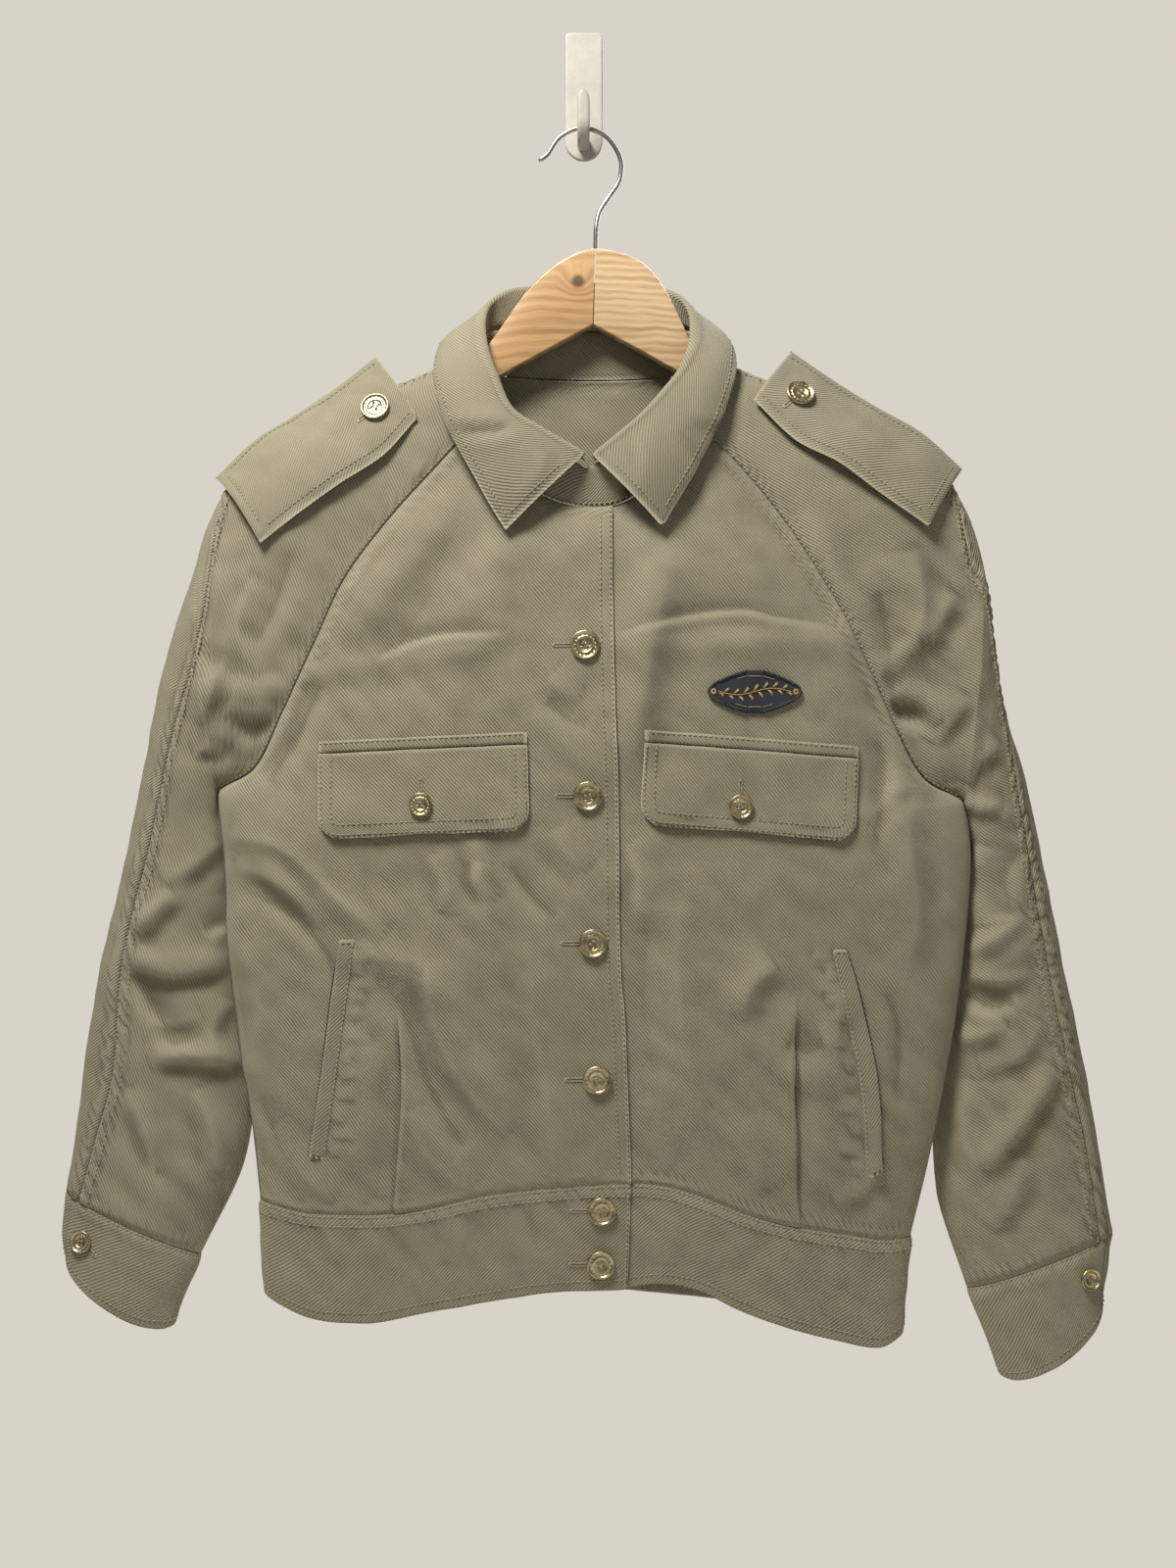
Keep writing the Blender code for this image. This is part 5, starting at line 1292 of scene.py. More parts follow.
@made_once
def twill_material(name, angle, shade):
    """Khaki twill whose ribs run at an angle, in degrees, on the piece's own grain."""
    cloth = bpy.context.scene.jacket_cloth
    material, tree, shader = new_material(name)
    grain, crest = read(tree, "grain", "Vector"), read(tree, "crest")
    weave = group_node(tree, "twill_weave", twill_group,
                       {"Grain": grain, "Angle": math.radians(angle), "Pitch": cloth.rib_pitch})
    wear = group_node(tree, "wear", wear_group,
                      {"Grain": grain, "Crest": crest, "Edge": read(tree, "edge"), "Patches": 9.0})
    dark, worn_and_highlight = shaded(cloth.shadow_colour, shade), shaded(cloth.worn_and_highlight_colour, shade)
    # The ribs' pattern is the weave's own; the dark ground between them is painted shade in the grooves, with
    # real flecks of the yarn
    tone = weighted(tree, (weave["Rib"], 0.62), (weave["Fleck"], 0.38))
    colour = blend_colours(tree, tone, dark, shaded(cloth.face_colour, shade))
    # Toward the worn colour: faded patches, and ridges lightened as partly fading and partly painted
    # highlight
    colour = blend_colours(tree, times(tree, wear["Fade"], 0.55), colour, worn_and_highlight)
    colour = blend_colours(tree, times(tree, wear["Rub"], 0.35), colour, worn_and_highlight)
    # Painted shade: where the crest is low, in the hollows of folds and creases, the colour is darkened
    # toward the shadow colour
    painted_hollow_shade = times(tree, falling(tree, crest, 0.10, 0.50), 0.22)
    fill(tree, shader, {
        "Base Color": blend_colours(tree, painted_hollow_shade, colour, shaded(dark, 0.75)),
        "Roughness": weighted(tree, (weave["Rib"], -0.10), base=0.90),
        "Sheen Weight": 0.12, "Sheen Roughness": 0.45, "Specular IOR Level": 0.28,
        "Normal": bumped(tree, weave["Height"], 0.75, cloth.rib_relief),
    })
    return material


@made_once
def patch_material(name, colour):
    """Dense dark cloth with a fine weave."""
    material, tree, shader = new_material(name)
    weave = group_node(tree, "twill_weave", twill_group,
                       {"Grain": read(tree, "grain", "Vector"), "Angle": 0.6, "Pitch": 0.0009})
    fill(tree, shader, {
        "Base Color": blend_colours(tree, weave["Rib"], shaded(colour, 0.55), colour),
        "Roughness": 0.82, "Normal": bumped(tree, weave["Height"], 0.6, 0.0002),
    })
    return material


@made_once
def thread_material(name, colour, rough=0.7):
    material, tree, shader = new_material(name)
    tone = noise_value(tree, put(tree, "ShaderNodeTexCoord").outputs["Object"], 900.0, 2.0)
    fill(tree, shader, {
        "Base Color": blend_colours(tree, tone, shaded(colour, 0.7), colour),
        "Roughness": rough, "Sheen Weight": 0.1,
    })
    return material


@made_once
def metal_material(name, bright, dull, rough, patches, metallic=1.0, bump_height=0.00008):
    """Metal or paint with tarnish in patches and a finely uneven gloss."""
    material, tree, shader = new_material(name)
    place = put(tree, "ShaderNodeTexCoord").outputs["Object"]
    wear = group_node(tree, "wear", wear_group,
                      {"Grain": place, "Crest": 0.5, "Edge": 0.01, "Patches": patches})
    fine = noise_value(tree, place, patches * 22)
    clean = ramp_between(tree, wear["Fade"], 0.22, 0.58)
    fill(tree, shader, {
        "Base Color": blend_colours(tree, clean, dull, bright),
        "Roughness": weighted(tree, (fine, 0.22), base=rough - 0.1),
        "Metallic": metallic, "Normal": bumped(tree, fine, 0.5, bump_height),
    })
    return material


@made_once
def wood_material(name, light, dark, seed, ring_size, knot=None):
    """Lacquered wood with its fibres along X of the piece's own grain, and a knot at a place in metres."""
    material, tree, shader = new_material(name)
    grain = read(tree, "grain", "Vector")
    parts = put(tree, "ShaderNodeSeparateXYZ", {0: grain}).outputs
    sway = times(tree, minus(tree, noise_value(tree, grain, 14.0 + seed, 2.0), 0.5), 0.012)
    across = plus(tree, parts[1], sway)
    if knot:
        dx, dy = minus(tree, parts[0], knot[0]), minus(tree, parts[1], knot[1])
        far = calc(tree, "SQRT", plus(tree, times(tree, dx, dx), times(tree, dy, dy)))
        across = weighted(tree, (falling(tree, far, 0.001, 0.016), 0.010), base=across)
    rings = wave(tree, times(tree, across, ring_size))
    stretched = put(tree, "ShaderNodeCombineXYZ",
                    {0: times(tree, parts[0], 0.05), 1: across, 2: float(seed)}).outputs[0]
    fibre, broad = noise_value(tree, stretched, 900.0, 4.0), noise_value(tree, stretched, 130.0)
    share = weighted(tree, (rings, 0.16), (fibre, 0.42), (broad, 0.50), clamp=True)
    colour = blend_colours(tree, ramp_between(tree, share, 0.25, 0.95), light, dark)
    if knot:
        core = times(tree, falling(tree, far, 0.0022, 0.0062), 0.85)
        colour = blend_colours(tree, core, colour, shaded(dark, 0.30))
    fill(tree, shader, {
        "Base Color": colour, "Roughness": weighted(tree, (fibre, 0.2), base=0.28),
        "Coat Weight": 0.35, "Coat Roughness": 0.25, "Normal": bumped(tree, fibre, 0.35, 0.00012),
    })
    return material


# Finishes of the twill. Columns: name, degrees of its ribs on the grain, shade
RIBS_DOWN = ("khaki_twill_down", 41, 1.0)
RIBS_LENGTHWISE = ("khaki_twill_lengthwise", -50, 0.98)
RIBS_STRAP = ("khaki_twill_strap", 43, 1.0)
RIBS_WELT = ("khaki_twill_welt", -40, 0.97)

# Sampling of the panels. The stations down the raglan seam are shared by the fronts, back and sleeves
UPPER_ROWS = 105
BODY_LOWER_ROWS = 90
SLEEVE_LOWER_ROWS = 108
RIGHT_COLUMNS, LEFT_COLUMNS, BACK_COLUMNS = 84, 92, 150
RING_COLUMNS = 44
# Half the step across a pleat's edge, as a share of the front's width
PLEAT_GAP = 0.0022
# Degrees by which the sleeves' grain leans outward
SLEEVE_TILT = 17.0
UNDERARMS = (SEAM_RIGHT[7][1:3], SEAM_LEFT[7][1:3])
SIDES = ((-1, "right"), (1, "left"))


def stations(lower_rows):
    """Stations down the raglan seam, then even ones below the underarm."""
    return ([UNDERARM * k / UPPER_ROWS for k in range(UPPER_ROWS + 1)]
            + [UNDERARM + BELOW_UNDERARM * k / lower_rows for k in range(1, lower_rows + 1)])


def front_columns(v, count, low, high, still, pleat):
    """Shares from low to high with a close pair at the pleat, which lies at the still share higher up."""
    place = mix(still, pleat_share(pleat, v), ease(0.70, 0.82, v)) if v > 0.70 else still
    first = round(count * (still - low) / (high - low))
    rest = count - first - 1
    return ([mix(low, place - PLEAT_GAP, k / first) for k in range(first + 1)]
            + [mix(place + PLEAT_GAP, high, k / rest) for k in range(rest + 1)])


def right_columns(v):
    return front_columns(v, RIGHT_COLUMNS, 0.0, edge_share(v), 0.21, PLEAT_RIGHT)


def left_columns(v):
    return front_columns(v, LEFT_COLUMNS, edge_share(v, -LAP_WIDTH), 1.0, 0.80, PLEAT_LEFT)


def back_columns():
    return [0.5 - 0.5 * math.cos(math.pi * k / BACK_COLUMNS) for k in range(BACK_COLUMNS + 1)]


def fore_rings(side, t):
    over = overarm_ring(side, t)
    return [over * k / RING_COLUMNS for k in range(RING_COLUMNS + 1)]


def rear_rings(side, t):
    over = overarm_ring(side, t)
    return [mix(over, 2.0, k / RING_COLUMNS) for k in range(RING_COLUMNS + 1)]


def places(rows):
    return np.array([[tuple(p) for p in row] for row in rows], dtype=float)


# Operators
class JACKET_OT_body(bpy.types.Operator):
    """Build the two fronts and the back"""
    bl_idname = "jacket.body"
    bl_label = "Fronts and Back"

    def execute(self, context):
        thick = context.scene.jacket_cloth.thickness * 1000
        ribs = twill_material(*RIBS_DOWN)
        creases = placed_creases(FRONT_CREASES, FRONT_MM_PER_PIXEL)
        creases += welt_puckers(WELT_RIGHT, 1) + welt_puckers(WELT_LEFT, -1)
        rows = stations(BODY_LOWER_ROWS)
        right = places([[front_point(u, v) for u in right_columns(v)] for v in rows])
        left = places([[under_lap(front_point(u, v)) for u in left_columns(v)] for v in rows])
        back = places([[back_point(u, v) for u in back_columns()] for v in rows])
        right = dressed(right, False, creases, 3, sewn="tbl", rise=1.8, sides_fade="tbl")
        left = dressed(left, False, creases, 3, sewn="tbr", rise=1.8, sides_fade="tbr")
        back = dressed(smoothed(back, 60, 80, 130), True, placed_creases(BACK_CREASES), 9, uneven=0.5)
        shell("cloth_front_right", "front_right", right, thick, ribs, round_sides="r", tilt=0, anchor=1.0)
        shell("cloth_front_left", "front_left", left, thick, ribs, tilt=0, anchor=0.12)
        shell("cloth_back", "back_body", back, thick, ribs, flip=True, tilt=0, behind=True)
        return {"FINISHED"}


class JACKET_OT_sleeves(bpy.types.Operator):
    """Build the two-piece raglan sleeves"""
    bl_idname = "jacket.sleeves"
    bl_label = "Sleeves"

    def execute(self, context):
        thick = context.scene.jacket_cloth.thickness * 1000
        ribs = twill_material(*RIBS_DOWN)
        creases = placed_creases(SLEEVE_CREASES, SLEEVE_MM_PER_PIXEL)
        rows = stations(SLEEVE_LOWER_ROWS)
        for side, word in SIDES:
            flip = side < 0
            fore = places([[sleeve_point(side, t, r) for r in fore_rings(side, t)] for t in rows])
            rear = places([[sleeve_point(side, t, r) for r in rear_rings(side, t)] for t in rows])
            fore = dressed(fore, flip, creases, 20 + side, rise=2.2, gathered="r")
            rear = dressed(rear, flip, placed_creases(REAR_CREASES, mirrored=side > 0), 30 + side, rise=1.3,
                           gathered="l", uneven=0.6)
            shell("cloth_sleeve_front_" + word, "sleeve_front_" + word, fore, thick, ribs, flip=flip,
                  tilt=side * SLEEVE_TILT)
            shell("cloth_sleeve_back_" + word, "sleeve_back_" + word, rear, thick, ribs, flip=flip,
                  tilt=side * SLEEVE_TILT, behind=True)
        return {"FINISHED"}


class JACKET_OT_bands(bpy.types.Operator):
    """Build the cuffs and the waistband"""
    bl_idname = "jacket.bands"
    bl_label = "Cuffs and Waistband"

    def execute(self, context):
        folded = context.scene.jacket_cloth.folded_thickness * 1000
        ribs = twill_material(*RIBS_LENGTHWISE)
        heights = spread(18, (0.012,), (0.012, 0.03))
        for side, word in SIDES:
            rings = rear_rings(side, 1.0)[2:] + fore_rings(side, 1.0)[1:] + rear_rings(side, 1.0)[1:3]
            cuff = places([[cuff_point(side, r, ring) for ring in rings] for r in heights])
            cuff = dressed(cuff, side < 0, None, 40 + side, sewn="t", pucker=0.2, sides_fade="t")
            shell("cloth_cuff_" + word, "cuff_" + word, cuff, folded, ribs, flip=side < 0, round_sides="b")
        right, left = right_columns(1.0)[::-1], left_columns(1.0)[::-1]
        rows = [[band_front(u, r) for u in right] + [band_back(u, r) for u in back_columns()[1:-1]]
                + [under_lap(band_front(u, r)) for u in left] for r in heights]
        band = dressed(places(rows), True, placed_creases(BAND_CREASES, FRONT_MM_PER_PIXEL), 50, sewn="t",
                       sides_fade="t")
        shell("cloth_waistband", "waistband", band, folded, ribs, flip=True, round_sides="bl")
        return {"FINISHED"}


class JACKET_OT_collar(bpy.types.Operator):
    """Build the collar's stand and its turned-down leaf"""
    bl_idname = "jacket.collar"
    bl_label = "Collar"

    def execute(self, context):
        folded = context.scene.jacket_cloth.folded_thickness * 1000
        ribs = twill_material(*RIBS_LENGTHWISE)
        shares = [k / 64 for k in range(65)]
        around = [(-1, s) for s in shares] + [(1, s) for s in reversed(shares[:-1])]
        overlap = [(1, s, False) for s in (0.14, 0.10, 0.05)]
        columns = []
        for side, s, under in overlap + [(side, s, side > 0) for side, s in around]:
            base, roll, _, split, _, _ = collar_rows(side, s)
            start = base + (roll - base).normalized() * 0.75
            split *= 1 - 0.15 * (1 - ease(0.0, 0.09, s))
            press = Vector((0, LAP_DROP * (1 - ease(0.16, 0.26, s)) if under else 0, 0))
            columns.append([start.lerp(roll, split * k / 12) + press for k in range(13)])
        stand = places(columns).transpose(1, 0, 2)
        shell("cloth_collar_stand", "collar_stand", stand, folded * 0.8, ribs, round_sides="tblr")
        rests = ("front_right", "front_left", "sleeve_front_right", "sleeve_front_left", "sleeve_back_right",
                 "sleeve_back_left", "back_body")
        columns = []
        for side, s in around:
            base, roll, edge, split, out, up = collar_rows(side, s)
            start = base.lerp(roll, split) + (roll - base).normalized() * 0.7
            centre = roll + (out - up) * ROLL_RADIUS
            line = [start.lerp(roll - up * ROLL_RADIUS, k / 4) for k in range(4)]
            for k in range(11):
                a = math.pi * (1 - k / 10)
                line.append(centre + out * ROLL_RADIUS * math.cos(a) + up * ROLL_RADIUS * math.sin(a))
            outer = line[-1]
            belly = mix(LEAF_BELLY, LEAF_BELLY_BACK, ease(0.55, 0.72, s))
            for k in spread(20, (), (0.015, 0.035))[1:]:
                wave = 0.9 * math.sin(9.0 * s + 2.2 * side) * hump(k)
                p = outer.lerp(edge, k) + out * (belly * hump(k) + wave)
                line.append(push_off(p, rests, 1.9))
            columns.append(line)
        leaf = places(columns).transpose(1, 0, 2)
        for _ in range(12):
            leaf[-1, 1:-1] = 0.5 * leaf[-1, 1:-1] + 0.25 * (leaf[-1, :-2] + leaf[-1, 2:])
            ends = leaf[:, [0, -1]]
            leaf[16:-1, [0, -1]] = 0.5 * ends[16:-1] + 0.25 * (ends[15:-2] + ends[17:])
        leaf = smoothed(leaf, 12, 15, leaf.shape[0] - 1)
        twist = crease_relief(leaf[..., 0], leaf[..., 2], placed_creases(COLLAR_CREASES, FRONT_MM_PER_PIXEL))
        outward = grid_directions(leaf, True)
        front_side = soft_step(14, 20, np.arange(leaf.shape[0]))[:, None]
        leaf = leaf + outward * (twist * front_side)[..., None]
        shell("cloth_collar_leaf", "collar_fall", leaf, folded * 0.75, ribs, flip=True, centred=True,
              round_sides="blr")
        return {"FINISHED"}


class JACKET_OT_epaulettes(bpy.types.Operator):
    """Build the epaulettes, lifted row by row until they clear the shoulders"""
    bl_idname = "jacket.epaulettes"
    bl_label = "Epaulettes"

    def execute(self, context):
        folded = context.scene.jacket_cloth.folded_thickness * 1000
        ribs = twill_material(*RIBS_STRAP)
        for side, word, table in ((-1, "right", EPAULETTE_RIGHT), (1, "left", EPAULETTE_LEFT)):
            names = ("sleeve_front_" + word, "sleeve_back_" + word, "front_" + word, "back_body")
            lifts = []
            for k in range(EPAULETTE_ROWS):
                t = k / (EPAULETTE_ROWS - 1)
                lift = 0.0
                while lift < 12 and min(clearance(p, names) for p in arch(table, t, lift, 15)) < folded + 0.5:
                    lift += 0.2
                lifts.append((t, lift))
            lifts = tuple((t, max(lifts[max(k - 1, 0)][1], h, lifts[min(k + 1, len(lifts) - 1)][1]))
                          for k, (t, h) in enumerate(lifts))
            shares = spread(58, (0.006,), (0.006, 0.014))
            grid = places([arch(table, t, at(lifts, t)[0], 24) for t in shares])
            grid = dressed(grid, side > 0, None, 60 + side, sewn="", folds=(("blr", 7.0, 0.30),))
            shell("cloth_epaulette_" + word, "epaulette_" + word, grid, folded, ribs, flip=side > 0,
                  round_sides="tblr")
        return {"FINISHED"}


def laid_panel(name, node, under, rows, lift, thick, material, flip=False, sag=0.0, seed=70,
               folds=(), sunk=0.0):
    """A panel that follows another one under its rows of x, z places; its last column is sunk lower."""
    count = max(len(rows) - 1, 1)
    grid = places([[lie_on(under, x, z, lift + thick + sag * i / count, reach=4.0)[0] for x, z in row]
                   for i, row in enumerate(rows)])
    out = grid_directions(grid, flip)
    across = lengths(grid)[1]
    uneven = 0.35 * surface_noise(grid, 19, seed) * soft_step(0, 6, border_gap(grid))
    uneven -= sunk * (across / across[:, -1:]) ** 1.5
    for fold_sides, distance, depth in folds:
        uneven -= depth * np.exp(-(border_gap(grid, fold_sides) - distance) ** 2)
    shell(name, node, grid + out * uneven[..., None], thick, material, flip=flip,
          round_sides="tblr")


FLAP_CORNER = 13.0


def flap_places(corners):
    """Rows of places over a flap with rounded lower corners."""
    (ax, az), (bx, bz), (cx, cz), (dx, dz) = corners
    height = math.hypot(dx - ax, dz - az)
    rows = []
    for t in spread(20, (0.02,), (0.006, 0.016, 0.03)):
        lx, lz, rx, rz = mix(ax, dx, t), mix(az, dz, t), mix(bx, cx, t), mix(bz, cz, t)
        q = max(t * height - (height - FLAP_CORNER), 0.0)
        cut = min(FLAP_CORNER - math.sqrt(max(FLAP_CORNER ** 2 - q * q, 0.0)), FLAP_CORNER * 0.93)
        width = math.hypot(rx - lx, rz - lz)
        shares = [mix(cut / width, 1 - cut / width, s) for s in spread(46, (0.005, 0.012), (0.005, 0.012))]
        rows.append([(mix(lx, rx, s), mix(lz, rz, s)) for s in shares])
    return rows


def flap_line(corners, inset):
    """A line inside the sides and the lower edge of a flap."""
    a, b, c, d = (Vector(p) for p in corners)

    def toward(p, q):
        return (q - p).normalized()

    d2 = d + (toward(d, c) + toward(d, a)) * inset
    c2 = c + (toward(c, d) + toward(c, b)) * inset
    a2, b2 = a + toward(a, b) * inset, b + toward(b, a) * inset
    bend = max(FLAP_CORNER - inset, 1.5)
    line = [a2]
    for corner, before, after in ((d2, a2, c2), (c2, d2, b2)):
        p, q = corner + toward(corner, before) * bend, corner + toward(corner, after) * bend
        for k in range(7):
            s = k / 6
            line.append(p * (1 - s) ** 2 + corner * 2 * s * (1 - s) + q * s * s)
    line.append(b2)
    return [(p.x, p.y) for p in line]


class JACKET_OT_pockets(bpy.types.Operator):
    """Build the chest flaps with their welts and the slanting pocket welts"""
    bl_idname = "jacket.pockets"
    bl_label = "Flaps and Pocket Welts"

    def execute(self, context):
        folded = context.scene.jacket_cloth.folded_thickness * 1000
        ribs = twill_material(*RIBS_DOWN)
        across = twill_material(*RIBS_WELT)
        for word, corners in (("right", FLAP_RIGHT), ("left", FLAP_LEFT)):
            front = "front_" + word
            laid_panel("cloth_flap_" + word, "flap_" + word, front, flap_places(corners), 0.7, folded, ribs,
                       sag=1.1, folds=(("blr", 1.6, 0.35), ("blr", 8.0, 0.30)))
            (ax, az), (bx, bz), _, _ = corners
            strip = [[(mix(ax, bx, j / 48), mix(az, bz, j / 48) + rise) for j in range(49)]
                     for rise in (7.9, 7.6, 6.9, 5.5, 4.0, 2.5, 1.2, 0.6)]
            laid_panel("cloth_flap_welt_" + word, "flap_welt_" + word, front, strip, 0.5, folded, ribs,
                       seed=75, folds=(("t", 1.2, 0.25),))
        for word, table in (("right", WELT_RIGHT), ("left", WELT_LEFT)):
            keyed = numbered(table, 3)
            rows = []
            for k in range(51):
                ox, oz, ix, iz = at(keyed, k / 50)
                rows.append([(mix(ox, ix, s), mix(oz, iz, s))
                             for s in (0, 0.03, 0.1, 0.25, 0.5, 0.75, 0.9, 0.97, 1.0)])
            laid_panel("cloth_pocket_welt_" + word, "pocket_welt_" + word, "front_" + word, rows, 0.6, folded,
                       across, flip=word == "left", seed=80, sunk=2.7)
        return {"FINISHED"}


def patch_half_width(half_w, t):
    """Half the patch's width at a share of its height, from -1 at the top to 1 at the foot."""
    return half_w * (1 - abs(t) ** 1.9 * 0.80)


def patch_outline(inset, count):
    """Places round the patch, clockwise from its upper left."""
    px, pz, half_w, half_h = PATCH
    heights = [-1 + 2 * k / count for k in range(count + 1)]
    right = [(px + patch_half_width(half_w - inset, t), pz - (half_h - inset) * t) for t in heights]
    loop = right + [(2 * px - x, z) for x, z in reversed(right)]
    return loop + loop[:1]


class JACKET_OT_patch(bpy.types.Operator):
    """Build the chest patch with its overlocked rim and a plain leafy branch"""
    bl_idname = "jacket.patch"
    bl_label = "Chest Patch"

    def execute(self, context):
        trim = context.scene.jacket_trim
        px, pz, half_w, half_h = PATCH
        rows = []
        for t in spread(20, (0.02,), (0.02,)):
            width = patch_half_width(half_w, 2 * t - 1)
            rows.append([(px + width * (2 * s - 1), pz - half_h * (2 * t - 1))
                         for s in spread(40, (0.01,), (0.01,))])
        cloth = patch_material("patch_cloth", trim.patch_colour)
        laid_panel("cloth_patch", "chest_patch", "front_left", rows, 0.55, 1.3, cloth, seed=90)
        verts, faces = [], []
        for outer, inner in zip(patch_outline(0.3, 90), patch_outline(2.3, 90)):
            a, n = lie_on("chest_patch", *outer, 0.0)
            b, _ = lie_on("chest_patch", *inner, 0.15)
            add_bar(verts, faces, a, b, n, 0.55)
        dark = thread_material("patch_rim_thread", shaded(trim.patch_colour, 0.8))
        new_object("patch_rim", verts, faces, dark)
        verts, faces = [], []

        def bar(x0, z0, x1, z1, radius=0.34):
            a, n = lie_on("chest_patch", px + x0, pz + z0, 0.05)
            b, _ = lie_on("chest_patch", px + x1, pz + z1, 0.05)
            add_bar(verts, faces, a, b, n, radius)

        def stem(x):
            return 2.2 * math.sin(x / 7.5)

        for k in range(44):
            x = -24 + 48 * k / 44
            bar(x, stem(x), x + 1.2, stem(x + 1.2), 0.42)
        for k in range(15):
            x = -23 + 3.2 * k
            up = 1 if k % 2 else -1
            reach = 5.6 - 0.10 * abs(x)
            for m in range(5):
                s = (m - 2) / 2
                tip = stem(x) + up * (reach - abs(s))
                bar(x + 0.5 * s, stem(x) + up * 0.8, x + 2.6 + 0.55 * s, tip, 0.36)
        for a in range(0, 360, 12):
            c, s = math.cos(math.radians(a)), math.sin(math.radians(a))
            for x in (27.0, -27.0):
                bar(x + 0.6 * c, 0.6 * s, x + 2.0 * c, 2.0 * s, 0.3)
        line = patch_outline(4.0, 60)
        for (ax, az), (bx, bz) in zip(line, line[1:]):
            if abs(ax - px) < 12:
                bar(ax - px, az - pz, bx - px, bz - pz, 0.28)
        gold = thread_material("patch_gold_thread", trim.gold_colour, rough=0.42)
        new_object("patch_branch", verts, faces, gold)
        return {"FINISHED"}


# Buttons: a raised rim round a ring of ribs, and a sunk middle with four holes sewn across
BUTTON_PROFILE = (
    (0, 0.5), (0.08, 0.5), (0.14, 0.5), (0.2, 0.5), (0.26, 0.5), (0.32, 0.5), (0.38, 0.51), (0.44, 0.54),
    (0.49, 0.64), (0.53, 0.72), (0.57, 0.74), (0.61, 0.7), (0.65, 0.62), (0.7, 0.6), (0.75, 0.6), (0.8, 0.66),
    (0.84, 0.84), (0.88, 0.96), (0.92, 1), (0.95, 0.98), (0.98, 0.88), (1, 0.7), (1, 0.45), (0.97, 0.2),
    (0.88, 0),
)
BUTTON_SIDES = 96
# The ring of ribs: their number, their height in mm, and the ring's start and width as shares of the radius
RIBS, RIB_HEIGHT, RIB_START, RIB_WIDTH = 16, 0.17, 0.62, 0.20
# The holes: distance from the middle both ways and radius, as shares of the button's radius, and depth in mm
HOLE_PLACE, HOLE_RADIUS, HOLE_DEPTH = 0.17, 0.085, 0.9


def button_seat(x, z, radius, node):
    place, n = lie_on(node, x, z, 0.45, reach=radius * 0.7)
    around = ((1, 0), (-1, 0), (0, 1), (0, -1), (0.7, 0.7), (-0.7, 0.7), (0.7, -0.7), (-0.7, -0.7))
    high = max((lie_on(node, x + radius * c, z + radius * s, 0.0)[0] - place).dot(n) for c, s in around)
    place = place + n * max(high * 0.55 + 0.1, 0.0)
    right = Vector((0, 0, 1)).cross(n).normalized()
    return place, n, right, n.cross(right)


class JACKET_OT_buttons(bpy.types.Operator):
    """Build the brass buttons, sewn on with thread"""
    bl_idname = "jacket.buttons"
    bl_label = "Buttons"

    def execute(self, context):
        trim = context.scene.jacket_trim
        brass = metal_material("worn_brass", trim.brass_colour, shaded(trim.brass_colour, 0.42), 0.34, 160.0)
        sewn = thread_material("button_thread", shaded(trim.thread_colour, 0.8))
        verts_t, faces_t = [], []
        for name, x, z, radius, node in BUTTONS:
            place, n, right, up = button_seat(x, z, radius, node)
            turn = 0.9 * math.sin(x * 3.1 + z)
            verts, faces = [], []
            for share, height in BUTTON_PROFILE:
                for k in range(BUTTON_SIDES):
                    a = 2 * math.pi * k / BUTTON_SIDES
                    c, s = share * math.cos(a), share * math.sin(a)
                    h = height * BUTTON_THICK
                    if RIB_START < share < RIB_START + RIB_WIDTH:
                        swell = math.sin(math.pi * (share - RIB_START) / RIB_WIDTH)
                        h += RIB_HEIGHT * math.cos(RIBS * a) * swell
                    if math.hypot(abs(c) - HOLE_PLACE, abs(s) - HOLE_PLACE) < HOLE_RADIUS:
                        h -= HOLE_DEPTH
                    b = a + turn
                    verts.append((place + right * radius * share * math.cos(b)
                                  + up * radius * share * math.sin(b) + n * h) * MM)
            for i in range(len(BUTTON_PROFILE) - 1):
                for k in range(BUTTON_SIDES):
                    m = (k + 1) % BUTTON_SIDES
                    base = i * BUTTON_SIDES
                    faces.append((base + k, base + BUTTON_SIDES + k, base + BUTTON_SIDES + m, base + m))
            top = (len(BUTTON_PROFILE) - 1) * BUTTON_SIDES
            faces.append(tuple(top + k for k in range(BUTTON_SIDES)))
            disc = new_object("brass_" + name, verts, faces, brass)
            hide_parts(name)
            ex = right * math.cos(turn) + up * math.sin(turn)
            ez = up * math.cos(turn) - right * math.sin(turn)
            middle = place + n * (0.50 * BUTTON_THICK - 0.1)
            for c in (-0.205, -0.135, 0.135, 0.205):
                ends = [middle + (ex * c + ez * s) * radius for s in (-0.19, 0.19)]
                add_bar(verts_t, faces_t, *ends, n, 0.42, sink=0.0)
        new_object("button_threads", verts_t, faces_t, sewn)
        return {"FINISHED"}


def welt_lines(table):
    """The sewn lines of a pocket welt: along its inner edge and across both ends."""
    def place(share, across):
        ox, oz, ix, iz = at(numbered(table, 3), share)
        return mix(ox, ix, across), mix(oz, iz, across)

    inner = [place(mix(0.03, 0.97, k / 30), 0.86) for k in range(31)]
    return [inner] + [[place(share, 0.1), place(share, 0.86)] for share in (0.02, 0.98)]


